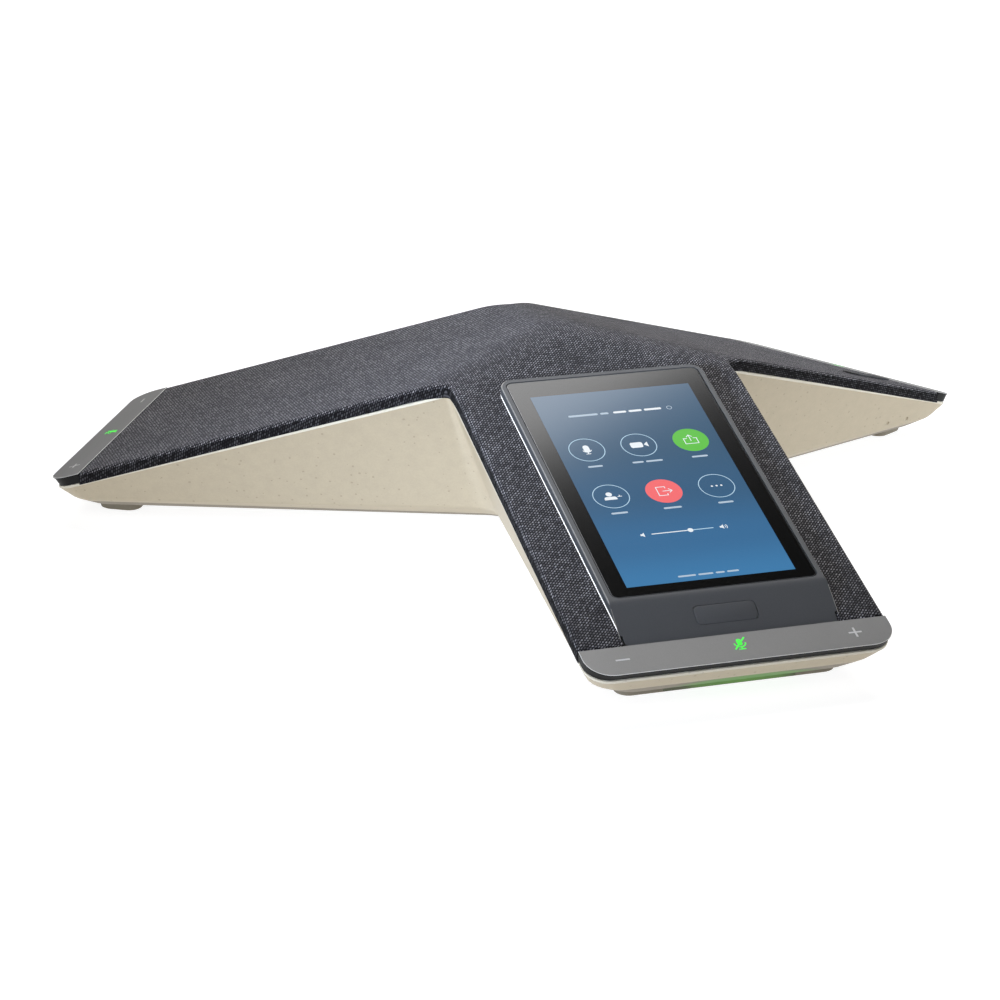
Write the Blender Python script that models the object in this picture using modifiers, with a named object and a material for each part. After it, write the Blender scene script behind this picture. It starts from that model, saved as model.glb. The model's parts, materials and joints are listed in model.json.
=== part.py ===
"""Three-legged tabletop conference phone with a tilted touch screen.

Units are metres, +Z up. The origin is the centre of the footprint box, on the table. The front leg,
which holds the screen, points along -Y; the other two point 120 degrees to either side of it.

Two kinds of local frame carry the parts. A leg frame has its origin at the centre of the star, on the
table, with -Y outward along the leg and +X across it. A slope frame starts at the sharp apex of the
roof and leans with the leg's top face: -Y runs down the face and +Z is its normal.
"""

import bpy
import bmesh
from math import atan, cos, pi, radians, sin, sqrt, tan
from mathutils import Matrix, Vector

OBJECT_NAME = "conference_phone"
LEG_NAMES = ("front", "right", "left")
SIXTH_TURN = radians(60)
GAP = 0.0003

# Roof: three planes that meet at an apex and fall along the legs.
LEG_HALF = 0.0558
APEX_HEIGHT = 0.0793
ROOF_SLOPE = 0.333
ROOF_REACH = 0.4
RIDGE_WIDTH = 0.0112
TILT = atan(ROOF_SLOPE)
STRIP_BACK = 0.1788
STRIP_TIP = 0.1919
TIP_CORNER = 0.0095

# Fabric skin and the moulded frame under it.
FABRIC_THICK = 0.001
FRAME_DROP = 0.0014
FRAME_THICK = 0.0023
LIP_DROP = 0.0049
LIP_SLOPE = 0.3255
INNER_CORNER = 0.003

# Base shell: straight walls that lean inward, a chamfer, and a flat floor.
WALL = 0.0024
BASE_DROP = 0.0052
RIM_HEIGHT = 0.0013
BASE_HALF = 0.0553
BASE_TIP = 0.1892
CHAMFER_HALF = 0.0314
CHAMFER_TAPER = 0.1125
CHAMFER_TIP = 0.1862
CHAMFER_RISE = 0.0123
CHAMFER_FALL = 0.0265
FLOOR_HALF = 0.0216
FLOOR_TAPER = 0.132
FLOOR_TIP = 0.1815
FLOOR_Z = 0.0053
FLOOR_FALL = 0.01
PLATE_TOP = 0.0066
WALL_LEAN = radians(112)
RIB_PLACES = (0.07, 0.148)
RIB_TOP = 0.0135
SCREW_R, SCREW_ACROSS = 0.148, 0.024
DIMPLES = ((0.1506, 0.0112), (0.1626, 0.0107))

# Feet: rubber bars that swell toward the plate, with a light pipe let into each.
FOOT_LOW = (0.0401, 0.1603, 0.1768)
FOOT_HIGH = (0.041, 0.1586, 0.1778)
FOOT_TOP = 0.0051
RECESS = (0.0413, 0.1583, 0.1781)
RECESS_TOP = 0.0054
PIPE_HALF, PIPE_BACK = 0.024, 0.1752

# Screen module, measured along the slope and along its normal.
PANEL_RISE = 0.00455
GLASS_HALF, GLASS_TOP, GLASS_END = 0.03764, 0.04453, 0.1693
LCD_HALF, LCD_TOP, LCD_END = 0.033, 0.0465, 0.168
BEZEL_HALF, BEZEL_WAIST = 0.0399, 0.0386
BEZEL_RIM = 0.0023
CHIN_BEND, CHIN_TURN = 0.1714, radians(18.5)
KEY_DOWN, KEY_HALF, KEY_LENGTH = 0.00867, 0.0113, 0.0074
KEY_THICK, KEY_PROUD = 0.0025, 0.00015

# Connector bay in the corner between the two rear legs.
BAY_HALF, BAY_BACK, BAY_LOW, BAY_HIGH = 0.0245, 0.0365, 0.011, 0.033
BAY_WALL = 0.0016
JACK_FACE = BAY_BACK + BAY_WALL + GAP
JACK_LOW = BAY_LOW + BAY_WALL + 0.0017

# Loudspeaker under the apex.
SPEAKER_TOP = 0.0635
SPEAKER_RADIUS = 0.033
ROUND_STEPS = 32

# The centre of the star lies behind the centre of the footprint box.
CORNER_REACH = (STRIP_TIP - TIP_CORNER) / 2 + (LEG_HALF - TIP_CORNER) * cos(radians(30)) + TIP_CORNER
STAR_Y = (STRIP_TIP - CORNER_REACH) / 2


# ---------------------------------------------------------------- scene and materials

def clear_scene():
    for item in list(bpy.data.objects):
        bpy.data.objects.remove(item, do_unlink=True)


def collection(name):
    made = bpy.data.collections.new(name)
    bpy.context.scene.collection.children.link(made)
    return made


def material(name, colour, roughness, metallic=0.0):
    made = bpy.data.materials.new(name)
    made.use_nodes = True
    shader = made.node_tree.nodes["Principled BSDF"]
    shader.inputs["Base Color"].default_value = (*colour, 1.0)
    shader.inputs["Roughness"].default_value = roughness
    shader.inputs["Metallic"].default_value = metallic
    made.diffuse_color = (*colour, 1.0)
    return made


def empty(name, parent=None, place=(0, 0, 0), turn=(0, 0, 0)):
    made = bpy.data.objects.new(name, None)
    PARTS.objects.link(made)
    made.parent = parent
    made.location = place
    made.rotation_euler = turn
    return made


def publish(item, finish, parent):
    """Turns a helper into a visible part with its material and parent."""
    item.hide_render = False
    item.display_type = "TEXTURED"
    CUTTERS.objects.unlink(item)
    PARTS.objects.link(item)
    item.parent = parent
    item.data.materials.clear()
    item.data.materials.append(finish)
    return item


# ---------------------------------------------------------------- solids

def helper(name, mesh, parent=None):
    """An object in the cutters collection; publish() makes it a part."""
    made = bpy.data.objects.new(name, mesh)
    CUTTERS.objects.link(made)
    made.parent = parent
    made.hide_render = True
    made.display_type = "WIRE"
    return made


def mesh_from(build, name):
    """A mesh filled by a function that works on a bmesh."""
    shape = bmesh.new()
    build(shape)
    mesh = bpy.data.meshes.new(name)
    bmesh.ops.recalc_face_normals(shape, faces=shape.faces)
    shape.to_mesh(mesh)
    shape.free()
    return mesh


def box(name, low, high, parent=None):
    size = Vector(high) - Vector(low)
    centre = (Vector(high) + Vector(low)) / 2

    def build(shape):
        made = bmesh.ops.create_cube(shape, size=1.0)
        bmesh.ops.scale(shape, vec=size, verts=made["verts"])
        bmesh.ops.translate(shape, vec=centre, verts=made["verts"])

    return helper(name, mesh_from(build, name), parent)


def rod(name, radius, low, high, place=(0, 0), parent=None, steps=ROUND_STEPS, top_radius=None):
    """A cylinder or cone along Z, from one height to another."""
    upper = radius if top_radius is None else top_radius

    def build(shape):
        made = bmesh.ops.create_cone(
            shape, cap_ends=True, segments=steps, radius1=radius, radius2=upper, depth=high - low
        )
        bmesh.ops.translate(shape, vec=(place[0], place[1], (low + high) / 2), verts=made["verts"])

    return helper(name, mesh_from(build, name), parent)


def slab(name, outline, low, high, parent=None):
    """A flat outline with straight sides, between two heights."""
    curve = bpy.data.curves.new(name, "CURVE")
    curve.dimensions = "2D"
    curve.fill_mode = "BOTH"
    curve.extrude = (high - low) / 2
    spline = curve.splines.new("POLY")
    spline.points.add(len(outline) - 1)
    for point, (x, y) in zip(spline.points, outline):
        point.co = (x, y, 0, 1)
    spline.use_cyclic_u = True
    drawn = bpy.data.objects.new(name + "_outline", curve)
    CUTTERS.objects.link(drawn)
    drawn.location.z = (low + high) / 2
    bpy.context.view_layer.update()
    evaluated = drawn.evaluated_get(bpy.context.evaluated_depsgraph_get())
    mesh = bpy.data.meshes.new_from_object(evaluated)
    mesh.transform(drawn.matrix_world)
    bpy.data.objects.remove(drawn)
    shape = bmesh.new()
    shape.from_mesh(mesh)
    bmesh.ops.remove_doubles(shape, verts=shape.verts, dist=1e-6)
    bmesh.ops.recalc_face_normals(shape, faces=shape.faces)
    shape.to_mesh(mesh)
    shape.free()
    return helper(name, mesh, parent)


def loft(name, loops, parent=None):
    """A closed solid through loops of equal length, from the lowest to the highest."""

    def build(shape):
        rings = [[shape.verts.new(point) for point in loop] for loop in loops]
        for lower, upper in zip(rings, rings[1:]):
            for index, start in enumerate(lower):
                after = (index + 1) % len(lower)
                shape.faces.new((start, lower[after], upper[after], upper[index]))
        shape.faces.new(reversed(rings[0]))
        shape.faces.new(rings[-1])

    return helper(name, mesh_from(build, name), parent)


def turned(name, profile, parent=None, steps=ROUND_STEPS):
    """A turned solid: a closed profile of (radius, height) spun round Z."""

    def build(shape):
        ring = [shape.verts.new((radius, 0, height)) for radius, height in profile]
        edges = [shape.edges.new((a, b)) for a, b in zip(ring, ring[1:])]
        if profile[0][0] > 0 or profile[-1][0] > 0:
            edges.append(shape.edges.new((ring[-1], ring[0])))
        centre, axis = (0, 0, 0), (0, 0, 1)
        bmesh.ops.spin(
            shape, geom=ring + edges, cent=centre, axis=axis, angle=2 * pi, steps=steps, use_merge=True
        )
        bmesh.ops.remove_doubles(shape, verts=shape.verts, dist=1e-6)

    return helper(name, mesh_from(build, name), parent)


def combine(item, other, operation="DIFFERENCE"):
    boolean = item.modifiers.new(other.name, "BOOLEAN")
    boolean.operation = operation
    boolean.object = other
    return item


def settled(item):
    """The object with its modifiers worked into its own mesh."""
    bpy.context.view_layer.update()
    evaluated = item.evaluated_get(bpy.context.evaluated_depsgraph_get())
    mesh = bpy.data.meshes.new_from_object(evaluated)
    used = [modifier.object for modifier in item.modifiers if modifier.type == "BOOLEAN"]
    item.modifiers.clear()
    item.data = mesh
    for cutter in used:
        bpy.data.objects.remove(cutter)
    return item


def on_each_leg(item, finish, frames, stem):
    """Publishes a settled piece once in each leg, with a shared mesh."""
    settled(item)
    for leg, frame in zip(LEG_NAMES, frames):
        copy = helper(f"{stem}_{leg}", item.data)
        publish(copy, finish, frame)
    bpy.data.objects.remove(item)


# ---------------------------------------------------------------- outlines

def arc(centre, radius, start, end, steps):
    turns = [start + (end - start) * step / steps for step in range(steps + 1)]
    return [(centre[0] + radius * cos(turn), centre[1] + radius * sin(turn)) for turn in turns]


def half_leg(half, taper, tip, corner, fillet, runs):
    """One side of a leg as (outward, sideways) pairs, from the hollow between two legs to its tip."""
    lean = atan(taper)
    inner = half / (tan(SIXTH_TURN) - taper)
    reach = fillet / sin(SIXTH_TURN - lean)
    hollow = (inner + reach * cos(SIXTH_TURN), half + taper * inner + reach * sin(SIXTH_TURN))
    curve = arc(hollow, fillet, pi + SIXTH_TURN, 1.5 * pi + lean, 5)
    tip_centre = (tip - corner, half + taper * (tip - corner) - corner / cos(lean))
    rounding = arc(tip_centre, corner, pi / 2 + lean, 0, 6)
    start, end = Vector(curve[-1]), Vector(rounding[0])
    straight = [tuple(start.lerp(end, run / runs)) for run in range(1, runs)]
    return curve + straight + rounding


def star(half, taper, tip, corner, fillet, runs=1):
    """The outline of the three legs, anticlockwise from above."""
    side = half_leg(half, taper, tip, corner, fillet, runs)
    leg = [(-across, -out) for out, across in side] + [(across, -out) for out, across in reversed(side)]
    points = []
    for index in range(3):
        turn = Matrix.Rotation(index * 2 * SIXTH_TURN, 2)
        points += [tuple(turn @ Vector(point)) for point in leg[:-1]]
    return points


def rounded(half, top, end, corners, steps=4):
    """A rectangle in a slope frame; corners holds the radius at its top and at its lower end."""
    upper, lower = corners
    points = arc((half - upper, -top - upper), upper, 0, pi / 2, steps)
    points += arc((-half + upper, -top - upper), upper, pi / 2, pi, steps)
    points += arc((-half + lower, -end + lower), lower, pi, 1.5 * pi, steps)
    points += arc((half - lower, -end + lower), lower, 1.5 * pi, 2 * pi, steps)
    return points


def lifted(outline, height):
    return [(x, y, height) for x, y in outline]


def out_along_leg(x, y):
    """How far a point lies along the leg that it is on."""
    return max(-y, x * cos(radians(30)) + y / 2, -x * cos(radians(30)) + y / 2)


def down_slope(out):
    """Distance down the roof from the apex to a point this far out along its leg."""
    return out / cos(TILT)


# ---------------------------------------------------------------- shared helpers of the shells

def roof(name, drop, slope=ROOF_SLOPE):
    """Everything under the three roof planes, lowered by drop, with soft ridges."""
    depth = slope * ROOF_REACH
    bpy.ops.mesh.primitive_cone_add(vertices=3, radius1=2 * ROOF_REACH, radius2=0, depth=depth)
    cone = bpy.context.object
    for holder in list(cone.users_collection):
        holder.objects.unlink(cone)
    CUTTERS.objects.link(cone)
    cone.name = name
    cone.location = (0, STAR_Y, APEX_HEIGHT - drop - depth / 2)
    cone.hide_render = True
    cone.display_type = "WIRE"
    bevel = cone.modifiers.new("ridges", "BEVEL")
    bevel.width = RIDGE_WIDTH
    bevel.segments = 4
    return cone


def base_loops(inset, bottom, rim_drop):
    """Loops of the base: floor, chamfer, rim and a top above the roof; bottom is the floor's mid height."""
    runs = 4
    lip = star(BASE_HALF - inset, 0, BASE_TIP - inset, 0.0085 - inset / 2, 0.004 + inset, runs)
    chamfer = star(
        CHAMFER_HALF - inset, CHAMFER_TAPER, CHAMFER_TIP - inset, 0.0095, 0.012 + inset, runs
    )
    floor = star(FLOOR_HALF - inset, FLOOR_TAPER, FLOOR_TIP - inset, 0.01, 0.014 + inset, runs)
    low = [(x, y, bottom - FLOOR_FALL * out_along_leg(x, y)) for x, y in floor]
    rim = [
        (x, y, APEX_HEIGHT - BASE_DROP - RIM_HEIGHT - rim_drop - LIP_SLOPE * out_along_leg(x, y))
        for x, y in lip
    ]
    edge = [(x, y, CHAMFER_RISE - CHAMFER_FALL * out_along_leg(x, y)) for x, y in chamfer]
    return [low, edge, rim, lifted(lip, 0.095)]


def end_cuts(item, past):
    """Cuts an upper shell square to the roof at the back edge of each touch strip."""
    for leg, frame in zip(LEG_NAMES, SLOPES):
        end = box(f"{item.name}_end_{leg}", (-0.07, -0.26, -0.03), (0.07, -down_slope(past), 0.03), frame)
        combine(item, end)


# ---------------------------------------------------------------- shells

def base_shell(finish):
    """The moulded lower housing: three leaning legs, ribs and screw bosses, open above and below."""
    shell = loft("base_shell", base_loops(0, FLOOR_Z, 0), PHONE)
    above_plate = box("base_above_plate", (-0.3, -0.3, PLATE_TOP + GAP), (0.3, 0.3, 0.2), PHONE)
    combine(shell, above_plate, "INTERSECT")
    combine(shell, roof("base_roof", BASE_DROP, LIP_SLOPE), "INTERSECT")
    for number, (out, height) in enumerate(DIMPLES):
        dimple = rod(f"wall_dimple_{number}", 0.0011, -0.001, 0.003, parent=LEGS[1], steps=14)
        dimple.location = (-wall_half(out, height), -out, height)
        dimple.rotation_euler = (0, -WALL_LEAN, 0)
        combine(shell, dimple)
    core = loft("base_core", base_loops(WALL, -0.005, 0.001), PHONE)
    for leg, frame in zip(LEG_NAMES, LEGS):
        for number, place in enumerate(RIB_PLACES):
            low, high = (-0.07, -place - 0.001, -0.01), (0.07, -place + 0.001, RIB_TOP)
            rib = box(f"rib_{leg}_{number}", low, high, frame)
            combine(core, rib)
        for side, across in (("a", -SCREW_ACROSS), ("b", SCREW_ACROSS)):
            boss = rod(f"boss_{leg}_{side}", 0.004, -0.012, RIB_TOP, (across, -SCREW_R), frame, 16)
            combine(core, boss)
    combine(shell, core)
    for leg, frame in zip(LEG_NAMES, LEGS):
        for side, across in (("a", -SCREW_ACROSS), ("b", SCREW_ACROSS)):
            pilot = rod(f"pilot_{leg}_{side}", 0.0015, -0.001, 0.0115, (across, -SCREW_R), frame, 12)
            combine(shell, pilot)
    low = (-BAY_HALF - GAP, BAY_BACK - GAP, BAY_LOW - GAP)
    high = (BAY_HALF + GAP, 0.09, BAY_HIGH + GAP)
    combine(shell, box("bay_hole", low, high, PHONE))
    return publish(shell, finish, PHONE)


def wall_half(out, height):
    """Half width of the base's outer wall at a height, between its chamfer and its rim."""
    low = CHAMFER_RISE - CHAMFER_FALL * out
    high = APEX_HEIGHT - BASE_DROP - RIM_HEIGHT - LIP_SLOPE * out
    part = (height - low) / (high - low)
    chamfer = CHAMFER_HALF + CHAMFER_TAPER * out
    return chamfer + (BASE_HALF - chamfer) * part


def base_plate(finish):
    """The floor plate, with recesses for the feet and countersunk screw holes."""
    plate = loft("base_plate", base_loops(0, FLOOR_Z, 0), PHONE)
    combine(plate, box("plate_slice", (-0.3, -0.3, 0.0), (0.3, 0.3, PLATE_TOP), PHONE), "INTERSECT")
    for leg, frame in zip(LEG_NAMES, LEGS):
        outline = rounded(*RECESS, (0.005, 0.005))
        recess = slab(f"foot_recess_{leg}", outline, 0.0, RECESS_TOP, frame)
        combine(plate, recess)
        for side, across in (("a", -SCREW_ACROSS), ("b", SCREW_ACROSS)):
            hole = rod(f"plate_hole_{leg}_{side}", 0.0017, 0.0, 0.02, (across, -SCREW_R), frame, 12)
            sink = rod(f"plate_sink_{leg}_{side}", 0.0032, 0.0, 0.0056, (across, -SCREW_R), frame, 16)
            combine(plate, hole)
            combine(plate, sink)
    return publish(plate, finish, PHONE)


def top_frame(finish):
    """The moulded frame under the fabric, with the screen bay and the loudspeaker holes."""
    frame = slab("top_frame", star(LEG_HALF - 0.0014, 0, STRIP_TIP, 0.01, INNER_CORNER), 0.0, 0.09, PHONE)
    combine(frame, roof("frame_roof", FRAME_DROP), "INTERSECT")
    combine(frame, roof("frame_lip", LIP_DROP, LIP_SLOPE))
    inside = star(LEG_HALF - 0.0034, 0, 0.25, 0.01, INNER_CORNER + 0.002)
    hollow = slab("frame_hollow", inside, -0.02, 0.12, PHONE)
    combine(hollow, roof("frame_under", FRAME_DROP + FRAME_THICK), "INTERSECT")
    combine(frame, hollow)
    end_cuts(frame, STRIP_BACK - GAP / 2)
    waist = BEZEL_WAIST + 0.00035
    bay = box("frame_bay", (-waist, -0.25, -0.03), (waist, -GLASS_TOP + 0.0023, 0.03), SLOPES[0])
    combine(frame, bay)
    for number, (x, y) in enumerate(grille_places()):
        combine(frame, rod(f"grille_hole_{number}", 0.004, 0.05, 0.1, (x, y), PHONE, 10))
    for leg, slope in zip(LEG_NAMES, SLOPES):
        place = (MIC_ACROSS, -MIC_DOWN)
        combine(frame, rod(f"sound_port_{leg}", 0.0008, -0.02, 0.02, place, slope, 8))
    return publish(frame, finish, PHONE)


def grille_places():
    """A hexagonal pattern of holes over the loudspeaker."""
    pitch = 0.011
    places = []
    for row in range(-2, 3):
        count = 5 - abs(row)
        for step in range(count):
            places.append(((step - (count - 1) / 2) * pitch, row * pitch * cos(radians(30))))
    return places


def fabric_cover(finish):
    """The stretched fabric: one skin over all three legs, turned down at its edges."""
    cover = slab("fabric_cover", star(LEG_HALF, 0, STRIP_TIP, 0.01, INNER_CORNER), 0.0, 0.09, PHONE)
    combine(cover, roof("fabric_roof", 0), "INTERSECT")
    combine(cover, roof("fabric_lip", LIP_DROP, LIP_SLOPE))
    inner = star(LEG_HALF - FABRIC_THICK, 0, 0.25, 0.01, INNER_CORNER + 0.001)
    hollow = slab("fabric_hollow", inner, -0.02, 0.12, PHONE)
    combine(hollow, roof("fabric_under", FABRIC_THICK + 0.0001), "INTERSECT")
    combine(cover, hollow)
    end_cuts(cover, STRIP_BACK - GAP)
    waist = BEZEL_WAIST + 0.00035
    bay = box("fabric_bay", (-waist, -0.25, -0.03), (waist, -GLASS_TOP + 0.0023, 0.03), SLOPES[0])
    combine(cover, bay)
    return publish(cover, finish, PHONE)


# ---------------------------------------------------------------- leg ends

MIC_DOWN = down_slope(0.17)
MIC_ACROSS = 0.047


def strip_outline(inset, back, tip, corner):
    """A touch strip's outline in its slope frame: square at the back, round at the tip."""
    half = LEG_HALF - inset
    points = [(half, -back), (-half, -back)]
    points += arc((-half + corner, -tip + corner), corner, pi, 1.5 * pi, 7)
    points += arc((half - corner, -tip + corner), corner, 1.5 * pi, 2 * pi, 7)
    return points


def leg_ends(metal, gloss, board_green, rubber, capsule):
    """The touch strip, its carrier and board, the microphone and its boot, in each leg."""
    back, tip = down_slope(STRIP_BACK), down_slope(STRIP_TIP)
    plate = slab("strip", strip_outline(0, back, tip, TIP_CORNER), -0.001, 0.0)
    on_each_leg(plate, metal, SLOPES, "touch_strip")

    lower = strip_outline(0.0007, back, tip - 0.003, 0.0087)
    upper = strip_outline(0.0004, back, tip - 0.0004, 0.0094)
    carrier = loft("carrier", [lifted(lower, -0.00335), lifted(upper, -0.0013)])
    combine(carrier, box("board_pocket", (-0.05, -0.1995, -0.0024), (0.05, -0.1905, 0.01)))
    on_each_leg(carrier, gloss, SLOPES, "strip_carrier")

    board = box("board", (-0.0497, -0.1992, -0.0021), (0.0497, -0.1908, -0.0013))
    on_each_leg(board, board_green, SLOPES, "touch_board")

    boot = rod("boot", 0.0036, -0.0075, -0.0038, (MIC_ACROSS, -MIC_DOWN), steps=16)
    combine(boot, rod("boot_pocket", 0.0026, -0.0065, 0.0, (MIC_ACROSS, -MIC_DOWN), steps=16))
    on_each_leg(boot, rubber, SLOPES, "microphone_boot")

    microphone = rod("microphone", 0.0023, -0.0062, -0.0042, (MIC_ACROSS, -MIC_DOWN), steps=16)
    on_each_leg(microphone, capsule, SLOPES, "microphone")


def feet(rubber, clear):
    """A rubber bar under the end of each leg, with a light pipe let into its outer face."""
    low = rounded(*FOOT_LOW, (0.0045, 0.0045))
    high = rounded(*FOOT_HIGH, (0.0047, 0.0047))
    foot = loft("foot", [lifted(low, 0.0), lifted(high, FOOT_TOP)])
    notch_half, notch_back = PIPE_HALF + GAP, PIPE_BACK - GAP
    combine(foot, box("pipe_notch", (-notch_half, -0.19, -0.001), (notch_half, -notch_back, 0.0042)))
    on_each_leg(foot, rubber, LEGS, "foot")
    pipe_low = rounded(PIPE_HALF, PIPE_BACK, 0.1771, (0.0004, 0.0004), 2)
    pipe_high = rounded(PIPE_HALF, PIPE_BACK, 0.1775, (0.0004, 0.0004), 2)
    pipe = loft("light_pipe", [lifted(pipe_low, 0.0006), lifted(pipe_high, 0.0039)])
    on_each_leg(pipe, clear, LEGS, "light_pipe")


def screws(steel):
    """Flat-head screws that hold the plate to the base shell's bosses."""
    head, under, point = 0.0045, 0.0052, 0.0109
    profile = [(0, point), (0.0012, point), (0.0012, under), (0.0028, under), (0.0028, head), (0, head)]
    for leg, frame in zip(LEG_NAMES, LEGS):
        for side, across in (("a", -SCREW_ACROSS), ("b", SCREW_ACROSS)):
            screw = turned(f"base_screw_{leg}_{side}", profile, steps=12)
            screw.location = (across, -SCREW_R, 0)
            publish(screw, steel, frame)


# ---------------------------------------------------------------- screen module

def bezel(finish):
    """The one-piece surround of the glass and its chin, hollow underneath."""
    end = down_slope(STRIP_BACK) - GAP
    loops = []
    for height, half in (
        (-0.0032, BEZEL_WAIST),
        (0.0, BEZEL_WAIST),
        (0.0034, BEZEL_HALF),
        (0.0042, BEZEL_HALF),
        (PANEL_RISE, BEZEL_HALF - 0.0004),
    ):
        top = GLASS_TOP - BEZEL_RIM + (BEZEL_HALF - half)
        loops.append(lifted(rounded(half, top, end, (0.005, 0.0002)), height))
    body = loft("screen_bezel", loops, SLOPES[0])
    combine(body, box("chin_cut", (-0.06, -0.04, 0.0), (0.06, 0.03, 0.03), CHIN))
    pocket = rounded(GLASS_HALF + GAP, GLASS_TOP - GAP, GLASS_END + GAP, (0.0028, 0.0028))
    combine(body, slab("glass_pocket", pocket, 0.0024, 0.01, SLOPES[0]))
    window = box("lcd_window", (-LCD_HALF - 0.0005, -LCD_END - 0.0005, -0.01), (
        LCD_HALF + 0.0005, -LCD_TOP + 0.0005, 0.01), SLOPES[0])
    combine(body, window)
    under = box("bezel_hollow", (-0.0363, -0.17, -0.01), (0.0363, -0.0446, 0.0009), SLOPES[0])
    combine(body, under)
    combine(body, slab("key_hole", key_outline(GAP), -0.02, 0.01, CHIN))
    pocket_low, pocket_high = (-0.016, -0.0143, -0.02), (0.016, -0.0032, -0.002)
    combine(body, box("key_pocket", pocket_low, pocket_high, CHIN))
    return publish(body, finish, SLOPES[0])


def key_outline(grow, corner=0.0018):
    half = KEY_HALF + grow
    top, end = KEY_DOWN - KEY_LENGTH / 2 - grow, KEY_DOWN + KEY_LENGTH / 2 + grow
    return rounded(half, top, end, (corner, corner))


def home_key(finish, board_green, switch_black):
    """The key below the screen, which travels into the chin, over a tact switch on its own board."""
    key = slab("home_key", key_outline(0), -KEY_THICK, KEY_PROUD)
    flange = slab("key_flange", key_outline(0.0012), -0.0031, -KEY_THICK + 0.0002)
    stem = rod("key_stem", 0.0015, -0.0037, -0.003, (0, -KEY_DOWN), steps=16)
    combine(key, flange, "UNION")
    combine(key, stem, "UNION")
    settled(key)
    key.data.transform(Matrix.Translation((0, KEY_DOWN, 0)))
    key.location = (0, -KEY_DOWN, 0)
    publish(key, finish, CHIN)

    switch = box("key_switch", (-0.003, -KEY_DOWN - 0.003, -0.006), (0.003, -KEY_DOWN + 0.003, -0.005))
    combine(switch, rod("switch_button", 0.0016, -0.0055, -0.0045, (0, -KEY_DOWN), steps=16), "UNION")
    publish(settled(switch), switch_black, CHIN)
    board = box("key_board", (-0.013, -0.0135, -0.0073), (0.013, -0.004, -0.0063))
    publish(board, board_green, CHIN)


def screen(glass, lcd, steel):
    """The cover glass, the display behind it and the sheet-steel bracket that backs them."""
    outline = rounded(GLASS_HALF, GLASS_TOP, GLASS_END, (0.0025, 0.0025))
    publish(slab("screen_glass", outline, 0.00275, PANEL_RISE - 0.0001), glass, SLOPES[0])
    panel = box("lcd_panel", (-LCD_HALF, -LCD_END, -0.0007), (LCD_HALF, -LCD_TOP, 0.0024))
    publish(panel, lcd, SLOPES[0])
    bracket = slab("screen_bracket", rounded(0.0358, 0.0451, 0.1694, (0.002, 0.002), 2), -0.002, -0.001)
    slot = box("bracket_slot", (-0.008, -0.16, -0.01), (0.008, -0.156, 0.01))
    publish(settled(combine(bracket, slot)), steel, SLOPES[0])


def badge(finish):
    """A blank plaque on the right leg's fabric."""
    outline = rounded(0.0042, -0.0125, 0.0125, (0.0015, 0.0015))
    plaque = slab("badge_plaque", outline, GAP, 0.0009)
    plaque.location = (-0.0366, -down_slope(0.1522), 0)
    return publish(plaque, finish, SLOPES[1])


# ---------------------------------------------------------------- electronics

def boards(board_green, steel, antenna_white):
    """The main board and its shield under the screen, the rear port board and the radio antenna."""
    main = box("main_board", (-0.034, -0.15, -0.0106), (0.034, -0.07, -0.009))
    publish(main, board_green, SLOPES[0])
    shield = box("processor_shield", (-0.016, -0.118, -0.0087), (0.016, -0.084, -0.0062))
    publish(shield, steel, SLOPES[0])
    port = box("port_board", (-0.024, 0.008, JACK_LOW - 0.0019), (0.024, BAY_BACK - GAP, JACK_LOW - GAP))
    publish(port, board_green, PHONE)
    antenna = box("radio_antenna", (-0.02, -0.125, -0.0052), (0.02, -0.113, -0.0042))
    publish(antenna, antenna_white, SLOPES[2])


def jack(name, left, width, height, depth, mouth, finish):
    """A board jack that faces the rear; mouth is the box cut from its face."""
    body = box(name, (left, JACK_FACE - depth, JACK_LOW), (left + width, JACK_FACE, JACK_LOW + height))
    centre = left + width / 2
    for number, (half, low, high, deep) in enumerate(mouth):
        hole = box(
            f"{name}_mouth_{number}",
            (centre - half, JACK_FACE - deep, JACK_LOW + low),
            (centre + half, JACK_FACE + 0.01, JACK_LOW + high),
        )
        combine(body, hole)
    return publish(settled(body), finish, PHONE)


def connector_bay(finish, steel):
    """The recess between the rear legs, with its network and two data jacks."""
    tray = loft("connector_bay", base_loops(0, FLOOR_Z, 0), PHONE)
    outer = box("bay_outer", (-BAY_HALF, BAY_BACK, BAY_LOW), (BAY_HALF, 0.2, BAY_HIGH), PHONE)
    inner = box(
        "bay_inner",
        (-BAY_HALF + BAY_WALL, BAY_BACK + BAY_WALL, BAY_LOW + BAY_WALL),
        (BAY_HALF - BAY_WALL, 0.3, BAY_HIGH - BAY_WALL),
        PHONE,
    )
    combine(tray, outer, "INTERSECT")
    combine(tray, inner)
    jacks = (
        ("network_jack", -0.0215, 0.016, 0.0132, 0.018,
         ((0.0059, 0.0032, 0.0107, 0.0135), (0.003, 0.0012, 0.0034, 0.0135))),
        ("host_jack", -0.0025, 0.0144, 0.007, 0.014,
         ((0.0062, 0.001, 0.0042, 0.0095), (0.0062, 0.0058, 0.0063, 0.0095))),
        ("service_jack", 0.0146, 0.0078, 0.003, 0.0055, ((0.0034, 0.0006, 0.0024, 0.0045),)),
    )
    for name, left, width, height, depth, mouth in jacks:
        low = (left - GAP, 0.02, JACK_LOW - GAP)
        high = (left + width + GAP, 0.06, JACK_LOW + height + GAP)
        combine(tray, box(name + "_window", low, high, PHONE))
        jack(name, left, width, height, depth, mouth, steel)
    return publish(tray, finish, PHONE)


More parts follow.
